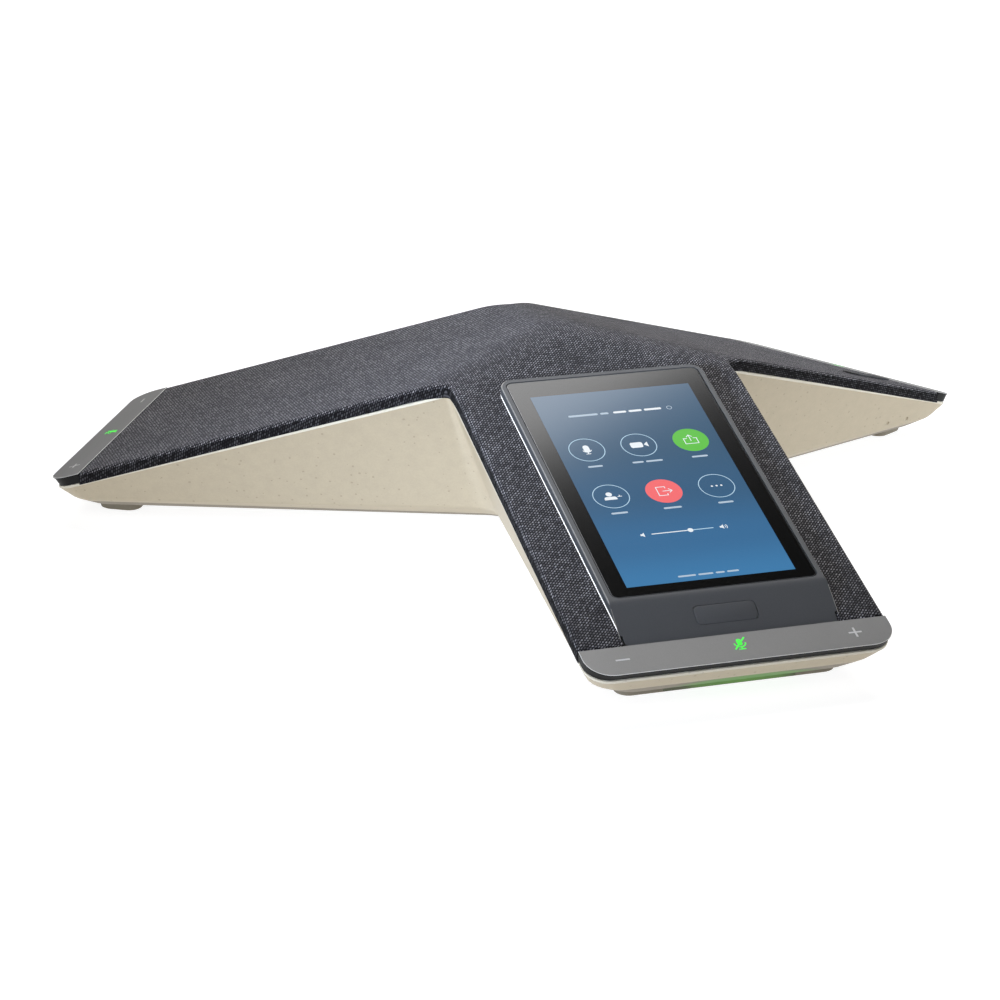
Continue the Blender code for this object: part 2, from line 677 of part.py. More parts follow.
def loudspeaker(steel, magnet_grey, paper, rubber):
    """A full-range driver that faces up through the frame's holes."""
    top, radius = SPEAKER_TOP, SPEAKER_RADIUS
    basket = turned("speaker_basket", [
        (radius, top), (radius, top - 0.0015), (0.0285, top - 0.0015), (0.019, top - 0.019),
        (0.0125, top - 0.019), (0.0125, top - 0.0175), (0.018, top - 0.0175), (0.0275, top - 0.0005),
        (0.0275, top),
    ])
    publish(basket, steel, PHONE)
    magnet = turned("speaker_magnet", [
        (0, top - 0.0145), (0.0085, top - 0.0145), (0.0085, top - 0.0255), (0.0105, top - 0.0255),
        (0.0105, top - 0.0195), (0.018, top - 0.0195), (0.018, top - 0.0315), (0, top - 0.0315),
    ])
    publish(magnet, magnet_grey, PHONE)
    surround = turned("speaker_surround", [
        (0.0245, top + 0.0003), (0.0252, top + 0.0018), (0.026, top + 0.0024), (0.0268, top + 0.0018),
        (0.0275, top + 0.0008), (0.031, top + 0.0008), (0.031, top + 0.0003), (0.0272, top + 0.0003),
        (0.0268, top + 0.0012), (0.026, top + 0.0018), (0.0252, top + 0.0012), (0.0249, top + 0.0003),
    ])
    publish(surround, rubber, PHONE)
    cone = turned("speaker_cone", [
        (0, top - 0.0075), (0.005, top - 0.0085), (0.0098, top - 0.012), (0.024, top), (0.0241, top - 0.0006),
        (0.0100, top - 0.0128), (0.0100, top - 0.0215), (0.0093, top - 0.0215), (0.0093, top - 0.0125),
        (0.005, top - 0.009), (0, top - 0.008),
    ])
    publish(cone, paper, PHONE)


# ---------------------------------------------------------------- the assembly

clear_scene()
PARTS = collection(OBJECT_NAME)
CUTTERS = collection("cutters")
PHONE = empty("phone", place=(0, STAR_Y, 0))
LEGS = [
    empty(f"leg_{leg}", PHONE, turn=(0, 0, index * 2 * SIXTH_TURN)) for index, leg in enumerate(LEG_NAMES)
]
SLOPES = [
    empty(f"slope_{leg}", frame, (0, 0, APEX_HEIGHT), (TILT, 0, 0)) for leg, frame in zip(LEG_NAMES, LEGS)
]
CHIN = empty("chin", SLOPES[0], (0, -CHIN_BEND, PANEL_RISE), (CHIN_TURN, 0, 0))

CHAMPAGNE = material("champagne_plastic", (0.56, 0.50, 0.38), 0.55)
TAUPE = material("taupe_plastic", (0.30, 0.26, 0.18), 0.6)
CHARCOAL = material("charcoal_fabric", (0.035, 0.033, 0.038), 0.95)
BLACK = material("black_plastic", (0.02, 0.02, 0.021), 0.5)
GLOSS = material("gloss_black", (0.01, 0.01, 0.01), 0.12)
SATIN = material("satin_grey_metal", (0.20, 0.20, 0.20), 0.35, 0.8)
SLATE = material("slate_plastic", (0.045, 0.05, 0.058), 0.4, 0.2)
GLASS = material("cover_glass", (0.01, 0.012, 0.015), 0.05)
DISPLAY = material("display_blue", (0.08, 0.22, 0.38), 0.3)
STEEL = material("sheet_steel", (0.55, 0.55, 0.55), 0.35, 1.0)
FERRITE = material("ferrite", (0.05, 0.05, 0.055), 0.6, 0.3)
PAPER = material("paper_cone", (0.03, 0.03, 0.03), 0.9)
RUBBER = material("taupe_rubber", (0.22, 0.19, 0.13), 0.8)
SOFT_BLACK = material("black_rubber", (0.015, 0.015, 0.015), 0.8)
BOARD = material("circuit_board", (0.02, 0.12, 0.05), 0.5)
CLEAR = material("light_pipe_green", (0.12, 0.45, 0.06), 0.3)
WHITE = material("antenna_white", (0.7, 0.7, 0.68), 0.5)

base_shell(CHAMPAGNE)
base_plate(TAUPE)
top_frame(BLACK)
fabric_cover(CHARCOAL)
leg_ends(SATIN, GLOSS, BOARD, SOFT_BLACK, STEEL)
feet(RUBBER, CLEAR)
screws(STEEL)
bezel(SLATE)
home_key(SLATE, BOARD, BLACK)
screen(GLASS, DISPLAY, STEEL)
badge(BLACK)
boards(BOARD, STEEL, WHITE)
connector_bay(BLACK, STEEL)
loudspeaker(STEEL, FERRITE, PAPER, SOFT_BLACK)
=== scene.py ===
"""The looks of the three-legged conference phone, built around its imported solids.

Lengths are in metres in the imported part's frame. Leg and slope frames follow the CAD: in a slope frame
-Y runs down the leg's top face from the sharp apex of the roof, and +Z is the face's normal.
"""

import json
from math import atan, cos, hypot, pi, radians, sin, tan

import bmesh
import bpy
from mathutils import Matrix, Vector
from mathutils.bvhtree import BVHTree
from mathutils.geometry import delaunay_2d_cdt


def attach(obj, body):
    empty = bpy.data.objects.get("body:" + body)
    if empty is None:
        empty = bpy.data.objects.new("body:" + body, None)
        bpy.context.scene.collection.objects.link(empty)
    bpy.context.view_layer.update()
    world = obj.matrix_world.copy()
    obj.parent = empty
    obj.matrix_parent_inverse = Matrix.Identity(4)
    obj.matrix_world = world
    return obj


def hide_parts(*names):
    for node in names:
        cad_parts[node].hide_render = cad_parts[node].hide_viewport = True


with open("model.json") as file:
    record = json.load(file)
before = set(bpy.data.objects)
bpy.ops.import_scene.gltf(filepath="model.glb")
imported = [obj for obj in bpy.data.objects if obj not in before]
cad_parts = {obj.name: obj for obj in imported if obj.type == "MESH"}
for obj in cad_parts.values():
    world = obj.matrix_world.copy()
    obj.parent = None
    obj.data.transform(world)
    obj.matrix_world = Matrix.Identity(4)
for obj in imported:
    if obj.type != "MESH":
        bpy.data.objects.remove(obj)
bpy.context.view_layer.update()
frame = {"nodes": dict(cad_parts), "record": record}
MM = 0.001
LEG_NAMES = ("front", "right", "left")
SIXTH_TURN = radians(60)

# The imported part's driving sizes.
LEG_HALF = 0.0558
APEX_HEIGHT = 0.0793
ROOF_SLOPE = 0.333
RIDGE_WIDTH = 0.0112
TILT = atan(ROOF_SLOPE)
STRIP_BACK, STRIP_TIP, TIP_CORNER = 0.1788, 0.1919, 0.0095
CORNER_REACH = (STRIP_TIP - TIP_CORNER) / 2 + (LEG_HALF - TIP_CORNER) * cos(radians(30)) + TIP_CORNER
STAR_Y = (STRIP_TIP - CORNER_REACH) / 2
INNER_CORNER = 0.003
LIP_DROP = 0.0049
BASE_DROP, LIP_SLOPE = 0.0052, 0.3255
BASE_HALF, BASE_TIP = 0.0553, 0.1892
CHAMFER_HALF, CHAMFER_TAPER, CHAMFER_TIP = 0.0314, 0.1125, 0.1862
CHAMFER_RISE, CHAMFER_FALL = 0.0123, 0.0265
FLOOR_HALF, FLOOR_TAPER, FLOOR_TIP = 0.0216, 0.132, 0.1815
FLOOR_Z, FLOOR_FALL = 0.0053, 0.01
PLATE_TOP = 0.0067
WALL = 0.0024
PANEL_RISE = 0.00455
GLASS_HALF, GLASS_TOP, GLASS_END = 0.03764, 0.04453, 0.1693
BEZEL_HALF, BEZEL_WAIST, BEZEL_TOP = 0.0399, 0.0386, 0.0422
CHIN_BEND, CHIN_TURN = 0.1714, radians(18.5)
KEY_DOWN, KEY_HALF, KEY_LENGTH = 0.00867, 0.0113, 0.0074
ACTIVE_HALF, ACTIVE_TOP, ACTIVE_LENGTH = 0.03105, 0.05422, 0.1104
BAY_HALF, BAY_BACK, BAY_LOW, BAY_HIGH = 0.0245, 0.0365, 0.011, 0.033
SCREW_R, SCREW_ACROSS = 0.148, 0.024
DIMPLES = ((0.1506, 0.0112), (0.1626, 0.0107))
GLOW_ACROSS = 0.0035
RIM_DROP, RIM_THICK = 0.0013, 0.0012
IMAGE_RISE = PANEL_RISE - 0.00006

# The cloth: its edges, the notch round the screen and its mesh grid. WEAVE is turn, pitch, length, step.
HEM_DROP = 0.0012
COVER_END = STRIP_BACK - 0.0003
NOTCH_HALF = BEZEL_WAIST + 0.00035
NOTCH_TOP = GLASS_TOP - 0.0023 - 0.0002
NOTCH_CORNER = 0.005
END_ROLL = 0.3
GRID = 0.0015
WEAVE = (radians(-43), 0.88, 1.45, 0.36)

PHONE = Matrix.Translation((0, STAR_Y, 0))
LEGS = [PHONE @ Matrix.Rotation(turn * 2 * SIXTH_TURN, 4, "Z") for turn in range(3)]
SLOPES = [leg @ Matrix.Translation((0, 0, APEX_HEIGHT)) @ Matrix.Rotation(TILT, 4, "X") for leg in LEGS]
CHIN = SLOPES[0] @ Matrix.Translation((0, -CHIN_BEND, PANEL_RISE)) @ Matrix.Rotation(CHIN_TURN, 4, "X")


# ---- camera, floor and light

def link(made):
    bpy.context.scene.collection.objects.link(made)


def camera():
    azimuth, elevation, roll = radians(-17.761), radians(20.326), radians(0.508)
    back = Vector((sin(azimuth) * cos(elevation), -cos(azimuth) * cos(elevation), sin(elevation)))
    level = Vector((cos(azimuth), sin(azimuth), 0))
    rise = back.cross(level)
    right = level * cos(roll) + rise * sin(roll)
    up = rise * cos(roll) - level * sin(roll)
    turn = Matrix((right, up, back)).transposed().to_4x4()
    lens = bpy.data.cameras.new("camera")
    lens.sensor_width = 36
    lens.lens = 107.555
    lens.shift_x = 0.02606
    lens.shift_y = 0.01048
    lens.clip_start = 0.05
    made = bpy.data.objects.new("camera", lens)
    made.matrix_world = Matrix.Translation((-0.36802, -1.01316, 0.40797)) @ turn
    link(made)
    bpy.context.scene.camera = made


def lamp(name, light, place, aim, roll=0.0):
    turn = (Vector(aim) - Vector(place)).to_track_quat("-Z", "Y").to_matrix().to_4x4()
    made = bpy.data.objects.new(name, light)
    made.matrix_world = Matrix.Translation(place) @ turn @ Matrix.Rotation(roll, 4, "Z")
    link(made)


def panel(name, place, aim, size, power, roll=0.0):
    light = bpy.data.lights.new(name, "AREA")
    light.shape = "RECTANGLE"
    light.size, light.size_y = size
    light.energy = power
    lamp(name, light, place, aim, roll)


def spot(name, place, aim, spread, power, colour):
    """A soft-edged pool of light on one part of the object."""
    light = bpy.data.lights.new(name, "SPOT")
    light.spot_size = radians(spread)
    light.spot_blend = 1.0
    light.shadow_soft_size = 0.12
    light.energy = power
    light.color = colour
    lamp(name, light, place, aim)


def studio():
    scene = bpy.context.scene
    scene.view_settings.view_transform = "Standard"
    world = bpy.data.worlds.new("studio")
    world.use_nodes = True
    shade = world.node_tree.nodes["Background"]
    shade.inputs["Color"].default_value = (1, 1, 1, 1)
    shade.inputs["Strength"].default_value = 0.03
    scene.world = world
    panel("key_behind", (0.412, 1.476, 1.35), (-0.02, 0, 0.06), (1.6, 1.24), 28, radians(40))
    panel("fill_left", (-1.2, -0.9, 1.5), (0, 0, 0.04), (1.5, 1.1), 10.5)
    panel("fill_front", (0.1, -1.5, 0.6), (0, 0, 0.03), (1.4, 0.6), 1.3)
    spot("pool_above", (-0.15, 0.65, 1.0), (0, 0.08, 0.06), 25, 19, (1.0, 0.98, 0.99))
    spot("hollow_left", (-0.8, -0.55, 0.25), (-0.01, -0.012, 0.042), 19, 76, (0.66, 0.78, 1.0))
    spot("leg_right", (0.9, -0.5, 0.25), (0.17, 0.075, 0.022), 28, 32, (0.8, 0.88, 1.0))
    reach = 6
    floor = bpy.data.meshes.new("floor")
    corners = [(-reach, -reach, 0), (reach, -reach, 0), (reach, reach, 0), (-reach, reach, 0)]
    floor.from_pydata(corners, [], [(0, 1, 2, 3)])
    made = bpy.data.objects.new("floor", floor)
    made.location.z = -0.0002
    link(made)
    look = lit("floor_white", (1, 1, 1), 0.86, (0.35, 0.35, 0.35), 0.7)
    floor.materials.append(look)


# ---- materials

def material(name, colour, roughness, metallic=0.0, **sockets):
    made = bpy.data.materials.new(name)
    made.use_nodes = True
    tree = made.node_tree
    shader = tree.nodes["Principled BSDF"]
    shader.inputs["Base Color"].default_value = (*colour, 1)
    shader.inputs["Roughness"].default_value = roughness
    shader.inputs["Metallic"].default_value = metallic
    for socket, value in sockets.items():
        shader.inputs[socket.replace("_", " ")].default_value = value
    return made, tree, shader


def node(tree, kind, settings=None, **inputs):
    """A shader node; inputs are sockets to link or plain values, by socket name or by iN for its number."""
    made = tree.nodes.new("ShaderNode" + kind)
    for key, value in (settings or {}).items():
        setattr(made, key, value)
    for key, value in inputs.items():
        numbered = key[0] == "i" and key[1:].isdigit()
        socket = made.inputs[int(key[1:])] if numbered else made.inputs[key.replace("_", " ")]
        if isinstance(value, bpy.types.NodeSocket):
            tree.links.new(value, socket)
        else:
            socket.default_value = value
    return made


def feed(shader, socket, value):
    shader.id_data.links.new(value, shader.inputs[socket])


def maths(tree, operation, first, second=0.0, clamp=False):
    return node(tree, "Math", {"operation": operation, "use_clamp": clamp}, i0=first, i1=second).outputs[0]


def times(tree, first, second):
    return maths(tree, "MULTIPLY", first, second)


def summed(tree, first, second):
    return maths(tree, "ADD", first, second)


def vectors(tree, operation, first, second, **more):
    return node(tree, "VectorMath", {"operation": operation}, i0=first, i1=second, **more).outputs[0]


def mix(tree, factor, first, second):
    return node(tree, "Mix", {"data_type": "RGBA"}, i0=factor, i6=first, i7=second).outputs[2]


def ramp(tree, factor, stops, interpolation="LINEAR"):
    made = node(tree, "ValToRGB", None, Fac=factor)
    band = made.color_ramp
    band.interpolation = interpolation
    while len(band.elements) < len(stops):
        band.elements.new(0.5)
    for element, (place, colour) in zip(band.elements, stops):
        element.position = place
        element.color = (*colour, 1)
    return made.outputs["Color"]


def object_point(tree):
    return node(tree, "TexCoord").outputs["Object"]


def noise(tree, point, scale, detail=2.0, roughness=0.5):
    made = node(tree, "TexNoise", None, Vector=point, Scale=scale, Detail=detail, Roughness=roughness)
    return made.outputs["Fac"]


def bump(tree, shader, height, distance, strength=1.0):
    made = node(tree, "Bump", None, Height=height, Distance=distance, Strength=strength)
    feed(shader, "Normal", made.outputs["Normal"])


def vary_roughness(tree, shader, factor, spread, least):
    rough = maths(tree, "MULTIPLY_ADD", factor, spread)
    rough.node.inputs[2].default_value = least
    feed(shader, "Roughness", rough)


def shades(colour, down, up, places):
    """Ramp stops a little darker and a little lighter than a colour."""
    return list(zip(places, (tuple(c * down for c in colour), tuple(min(1, c * up) for c in colour))))


def weave(tree, flat, turn, pitch, length, step):
    """(height, tone) of slanting floats: pitch apart, length long, each row stepped along by step."""
    turned = node(tree, "VectorRotate", {"rotation_type": "Z_AXIS"}, Vector=flat, Angle=turn).outputs[0]
    parts = node(tree, "SeparateXYZ", None, Vector=turned)
    across = maths(tree, "DIVIDE", parts.outputs["Y"], pitch)
    row = maths(tree, "FLOOR", across)
    along = summed(tree, maths(tree, "DIVIDE", parts.outputs["X"], length), times(tree, row, step))
    cell = maths(tree, "FLOOR", along)
    rib = maths(tree, "SINE", times(tree, maths(tree, "FRACT", across), pi))
    float_end = maths(tree, "SINE", times(tree, maths(tree, "FRACT", along), pi))
    height = times(tree, rib, maths(tree, "POWER", float_end, 0.6))
    place = node(tree, "CombineXYZ", None, X=cell, Y=row)
    tone = node(tree, "TexWhiteNoise", {"noise_dimensions": "2D"}, Vector=place.outputs[0]).outputs["Value"]
    return height, tone


def fabric_look():
    """A bias twill: short slanting floats in stepped rows, heathered light and dark."""
    look, tree, shader = material(
        "charcoal_weave", (0.05, 0.05, 0.05), 0.92, Sheen_Weight=0.11, Sheen_Roughness=0.5,
        Sheen_Tint=(0.88, 0.84, 0.89, 1), Specular_IOR_Level=0.15,
    )
    flat = node(tree, "UVMap", {"uv_map": "weave"}).outputs["UV"]
    wobble = node(tree, "TexNoise", None, Vector=flat, Scale=0.3, Detail=2.0).outputs["Color"]
    loose = vectors(tree, "MULTIPLY_ADD", wobble, (0.6, 0.6, 0), i2=flat)
    height, tone = weave(tree, loose, *WEAVE)
    fibre = noise(tree, flat, 4.0, 2.0)
    grain = noise(tree, flat, 1.2, 3.0, 0.8)
    cloud = noise(tree, flat, 0.045, 3.0)
    lively = summed(tree, times(tree, tone, 0.3), times(tree, fibre, 0.35))
    lively = summed(tree, lively, times(tree, maths(tree, "SUBTRACT", grain, 0.25), 0.7))
    lively = summed(tree, lively, times(tree, cloud, 0.26))
    mixed = times(tree, height, lively)
    colour = ramp(tree, mixed, [
        (0.08, (0.003, 0.0028, 0.0031)), (0.28, (0.018, 0.0172, 0.0182)), (0.5, (0.118, 0.113, 0.118)),
        (0.8, (0.46, 0.445, 0.46)),
    ])
    feed(shader, "Base Color", colour)
    relief = summed(tree, height, times(tree, fibre, 0.3))
    bump(tree, shader, relief, 0.2 * MM, 0.8)
    return look


def shaded_hem_look():
    """The same cloth where it turns down at the edge: tighter and without sheen, its darker colour painted
    shade on the turned-down lip.
    """
    look, tree, shader = material("painted_shade_hem", (0.02, 0.019, 0.021), 0.95, Specular_IOR_Level=0.1)
    flat = node(tree, "UVMap", {"uv_map": "weave"}).outputs["UV"]
    height, tone = weave(tree, flat, *WEAVE)
    mixed = times(tree, height, summed(tree, tone, 0.35))
    colour = ramp(tree, mixed, [
        (0.1, (0.004, 0.0038, 0.0041)), (0.5, (0.015, 0.0143, 0.0153)), (1.0, (0.062, 0.06, 0.063)),
    ])
    feed(shader, "Base Color", colour)
    bump(tree, shader, height, 0.2 * MM, 0.8)
    return look


def speckled(name, colour, dark, roughness, grain=0.02):
    """Moulded plastic with sparse darker flecks and a faint spark-eroded texture."""
    look, tree, shader = material(name, colour, roughness)
    point = object_point(tree)
    fine = noise(tree, point, 1500.0, 2.0, 0.6)
    broad = noise(tree, point, 240.0, 3.0, 0.65)
    cells = node(tree, "TexVoronoi", None, Vector=point, Scale=400.0, Randomness=1.0)
    chosen = node(tree, "SeparateColor", None, Color=cells.outputs["Color"]).outputs["Red"]
    size = times(tree, maths(tree, "GREATER_THAN", chosen, 0.5), times(tree, chosen, 0.2))
    fleck = maths(tree, "LESS_THAN", cells.outputs["Distance"], size)
    tint = summed(tree, times(tree, fine, 0.5), times(tree, broad, 0.5))
    plain = ramp(tree, tint, shades(colour, 0.93, 1.05, (0.32, 0.68)))
    strength = times(tree, fleck, 0.4)
    mixed = mix(tree, strength, plain, (*dark, 1))
    feed(shader, "Base Color", mixed)
    vary_roughness(tree, shader, fine, 0.16, roughness - 0.08)
    bump(tree, shader, fine, grain * MM, 0.5)
    return look


def grained(name, colour, roughness, metallic=0.0, scale=900.0, depth=0.01, spread=0.1, **sockets):
    """A plain finish whose gloss and height vary with a fine grain."""
    look, tree, shader = material(name, colour, roughness, metallic, **sockets)
    point = object_point(tree)
    fine = noise(tree, point, scale, 3.0, 0.6)
    broad = noise(tree, point, 18.0, 3.0)
    both = summed(tree, times(tree, fine, 0.5), times(tree, broad, 0.5))
    vary_roughness(tree, shader, both, spread, roughness - spread / 2)
    tint = ramp(tree, both, shades(colour, 0.93, 1.07, (0.35, 0.65)))
    feed(shader, "Base Color", tint)
    bump(tree, shader, fine, depth * MM, 0.4)
    return look


def brushed(name, colour, roughness, along=(1, 40, 40)):
    look, tree, shader = material(name, colour, roughness, 1.0)
    point = object_point(tree)
    stretched = vectors(tree, "MULTIPLY", point, along)
    lines = noise(tree, stretched, 120.0, 2.0)
    vary_roughness(tree, shader, lines, 0.25, roughness - 0.12)
    bump(tree, shader, lines, 0.004 * MM, 0.4)
    return look


def lit(name, colour, strength, base=(0.02, 0.02, 0.02), roughness=0.35):
    return material(name, base, roughness, Emission_Color=(*colour, 1), Emission_Strength=strength)[0]


def screen_look():
    """The lit display: a blue field, darker in the middle, under the glass's own gloss."""
    look, tree, shader = material("screen_image", (0.001, 0.001, 0.001), 0.12, Emission_Strength=1.0)
    flat = node(tree, "UVMap", {"uv_map": "screen"}).outputs["UV"]
    parts = node(tree, "SeparateXYZ", None, Vector=flat)
    down = maths(tree, "SUBTRACT", 1.0, parts.outputs["Y"])
    colour = ramp(tree, down, [
        (0.0, (0.045, 0.105, 0.185)), (0.3, (0.040, 0.100, 0.180)), (0.55, (0.040, 0.112, 0.215)),
        (0.8, (0.043, 0.150, 0.310)), (1.0, (0.050, 0.195, 0.400)),
    ], "EASE")
    feed(shader, "Emission Color", colour)
    return look


def pipe_look():
    """The foot's light pipe, brightest in the middle and fading to both ends."""
    look, tree, shader = material("light_pipe_glow", (0.05, 0.055, 0.03), 0.5, Emission_Strength=1.0)
    flat = node(tree, "UVMap", {"uv_map": "pipe"}).outputs["UV"]
    parts = node(tree, "SeparateXYZ", None, Vector=flat)
    across = maths(tree, "ABSOLUTE", parts.outputs["X"])
    glow = ramp(tree, across, [
        (0.0, (0.045, 0.15, 0.012)), (0.6, (0.038, 0.12, 0.01)), (1.0, (0.02, 0.02, 0.01)),
    ], "EASE")
    feed(shader, "Emission Color", glow)
    return look


def plate_look():
    """The floor plate's plastic, darkened as painted shade under the base, with a painted green glow where the
    front foot's light pipe shines on it.
    """
    look, tree, shader = material("plate_painted_shade", (0.2, 0.17, 0.125), 0.6, Emission_Strength=1.0)
    point = object_point(tree)
    fine = noise(tree, point, 1200.0, 2.0, 0.6)
    plain = ramp(tree, fine, [(0.3, (0.185, 0.158, 0.115)), (0.7, (0.225, 0.193, 0.142))])
    bump(tree, shader, fine, 0.02 * MM, 0.5)
    away = vectors(tree, "SUBTRACT", point, (GLOW_ACROSS, STAR_Y - 0.1805, 0.005))
    narrow = vectors(tree, "MULTIPLY", away, (1 / 0.031, 1 / 0.007, 1 / 0.007))
    distance = node(tree, "VectorMath", {"operation": "LENGTH"}, i0=narrow).outputs["Value"]
    glow = ramp(tree, distance, [
        (0.0, (0.055, 0.20, 0.012)), (0.6, (0.04, 0.15, 0.01)), (1.0, (0, 0, 0)),
    ], "EASE")
    feed(shader, "Emission Color", glow)
    away_from_glow = maths(tree, "POWER", distance, 3.0, clamp=True)
    base = mix(tree, away_from_glow, (0.02, 0.03, 0.01, 1), plain)
    feed(shader, "Base Color", base)
    return look


def board_look():
    """Solder mask over copper tracks, with pads."""
    look, tree, shader = material("solder_mask", (0.01, 0.08, 0.03), 0.4)
    point = object_point(tree)
    tracks = node(
        tree, "TexBrick", {"offset": 0.37}, Vector=point, Scale=300.0, Color1=(0.008, 0.07, 0.025, 1),
        Color2=(0.02, 0.13, 0.05, 1), Mortar=(0.03, 0.19, 0.07, 1), Mortar_Size=0.06,
        Brick_Width=1.3, Row_Height=0.5,
    )
    feed(shader, "Base Color", tracks.outputs["Color"])
    bump(tree, shader, tracks.outputs["Fac"], 0.03 * MM, 0.5)
    return look


LOOKS = {}


def make_looks():
    LOOKS.update({
        "champagne_plastic": speckled("champagne", (0.41, 0.347, 0.243), (0.17, 0.14, 0.09), 0.5),
        # the base's lighter rim band: painted highlight on its rounded edge
        "rim_painted_highlight": speckled("rim_painted_highlight", (0.60, 0.55, 0.44), (0.4, 0.35, 0.27), 0.42),
        # the floor plate's darker colour is painted shade under the base; its green glow is painted light
        "taupe_plastic": plate_look(),
        "charcoal_fabric": fabric_look(),
        # the cloth's darker turned-down lip: painted shade
        "painted_shade_hem": shaded_hem_look(),
        "black_plastic": grained("black_moulded", (0.018, 0.018, 0.019), 0.5, depth=0.02),
        "gloss_black": grained("gloss_black", (0.012, 0.0115, 0.011), 0.22, spread=0.04, depth=0.002),
        "band_black": grained(
            "band_black", (0.006, 0.0058, 0.0056), 0.5, spread=0.06, depth=0.004, Specular_IOR_Level=0.15,
        ),
        "satin_grey_metal": grained("satin_grey", (0.24, 0.237, 0.232), 0.45, 0.7, scale=2500.0, spread=0.12),
        # a pale, faintly glowing bevel colour: painted highlight on the strip plates' edges
        "painted_highlight_strip_edge": lit("painted_highlight_strip_edge", (1.0, 0.98, 0.95), 0.16, (0.62, 0.61, 0.59), 0.4),
        "slate_plastic": grained("slate", (0.081, 0.0815, 0.0835), 0.5, scale=2200.0, Specular_IOR_Level=0.3),
        # a glowing white band on the bezel's lower sides: painted highlight
        "painted_highlight_band": lit("painted_highlight_band", (1.0, 0.98, 0.96), 0.85, (0.85, 0.84, 0.82), 0.3),
        # a much lighter slate for the bezel's upper edge and the chin's side lines: painted highlight
        "painted_highlight_slate_edge": grained("painted_highlight_slate_edge", (0.36, 0.34, 0.31), 0.45, 0.3),
        "cover_glass": grained("cover_glass", (0.0006, 0.0006, 0.0006), 0.12, spread=0.01, depth=0.0),
        "glass_rim": grained("glass_rim", (0.07, 0.07, 0.07), 0.35, spread=0.02, depth=0.0),
        "display_blue": grained("display_back", (0.05, 0.12, 0.2), 0.3),
        "sheet_steel": brushed("sheet_steel", (0.55, 0.55, 0.54), 0.38),
        "ferrite": grained("ferrite", (0.05, 0.05, 0.055), 0.6, 0.3, scale=600.0, depth=0.04),
        "paper_cone": grained("pulp", (0.03, 0.03, 0.03), 0.9, scale=500.0, depth=0.08),
        "taupe_rubber": speckled("taupe_rubber", (0.165, 0.142, 0.1), (0.08, 0.07, 0.05), 0.75, grain=0.04),
        "black_rubber": grained("black_rubber", (0.015, 0.015, 0.015), 0.8, depth=0.03),
        "circuit_board": board_look(),
        "light_pipe_green": pipe_look(),
        "antenna_white": grained("antenna_white", (0.7, 0.7, 0.68), 0.5),
        "screen_image": screen_look(),
        "ui_white": lit("ui_white", (0.86, 0.92, 0.97), 0.85),
        "ui_line": lit("ui_line", (0.42, 0.66, 0.84), 0.9),
        "ui_soft": lit("ui_soft", (0.40, 0.52, 0.64), 0.9),
        "ui_green": lit("ui_green", (0.11, 0.54, 0.05), 0.95, roughness=0.12),
        "ui_coral": lit("ui_coral", (0.94, 0.15, 0.16), 0.95, roughness=0.12),
        "led_green": lit("led_green", (0.045, 0.93, 0.045), 1.0),
        "mark_grey": grained("mark_grey", (0.62, 0.61, 0.60), 0.5),
        "badge_face": grained("badge_face", (0.045, 0.044, 0.047), 0.55),
    })


# ---- outlines

def arc(centre, radius, start, end, steps):
    turns = [start + (end - start) * step / steps for step in range(steps + 1)]
    return [(centre[0] + radius * cos(turn), centre[1] + radius * sin(turn)) for turn in turns]


def half_leg(half, taper, tip, corner, fillet, runs, hollow_steps=10, corner_steps=8):
    """One side of a leg as (outward, sideways) pairs, from the hollow between two legs to its tip."""
    lean = atan(taper)
    inner = half / (tan(SIXTH_TURN) - taper)
    reach = fillet / sin(SIXTH_TURN - lean)
    hollow = (inner + reach * cos(SIXTH_TURN), half + taper * inner + reach * sin(SIXTH_TURN))
    curve = arc(hollow, fillet, pi + SIXTH_TURN, 1.5 * pi + lean, hollow_steps)
    tip_centre = (tip - corner, half + taper * (tip - corner) - corner / cos(lean))
    rounding = arc(tip_centre, corner, pi / 2 + lean, 0, corner_steps)
    start, end = Vector(curve[-1]), Vector(rounding[0])
    straight = [tuple(start.lerp(end, run / runs)) for run in range(1, runs)]
    return curve + straight + rounding


def on_leg(points, index):
    turn = Matrix.Rotation(index * 2 * SIXTH_TURN, 2)
    return [tuple(turn @ Vector(point)) for point in points]


def star(half, taper, tip, corner, fillet, runs=12):
    side = half_leg(half, taper, tip, corner, fillet, runs)
    leg = [(-across, -out) for out, across in side] + [(across, -out) for out, across in reversed(side)]
    points = []
    for index in range(3):
        points += on_leg(leg[:-1], index)
    return points


def rounded(half, top, end, corners, steps=8):
    """A rectangle in a slope frame; corners holds the radius at its top and at its lower end."""
    upper, lower = corners
    points = arc((half - upper, -top - upper), upper, 0, pi / 2, steps)
    points += arc((-half + upper, -top - upper), upper, pi / 2, pi, steps)
    points += arc((-half + lower, -end + lower), lower, pi, 1.5 * pi, steps)
    points += arc((half - lower, -end + lower), lower, 1.5 * pi, 2 * pi, steps)
    return points


def lifted(outline, height):
    return [(x, y, height) for x, y in outline]


def out_along_leg(x, y):
    return max(-y, x * cos(radians(30)) + y / 2, -x * cos(radians(30)) + y / 2)


def down_slope(out):
    return out / cos(TILT)


# ---- meshes and pieces

def mesh_of(shape, name):
    bmesh.ops.recalc_face_normals(shape, faces=shape.faces)
    mesh = bpy.data.meshes.new(name)
    shape.to_mesh(mesh)
    shape.free()
    return mesh


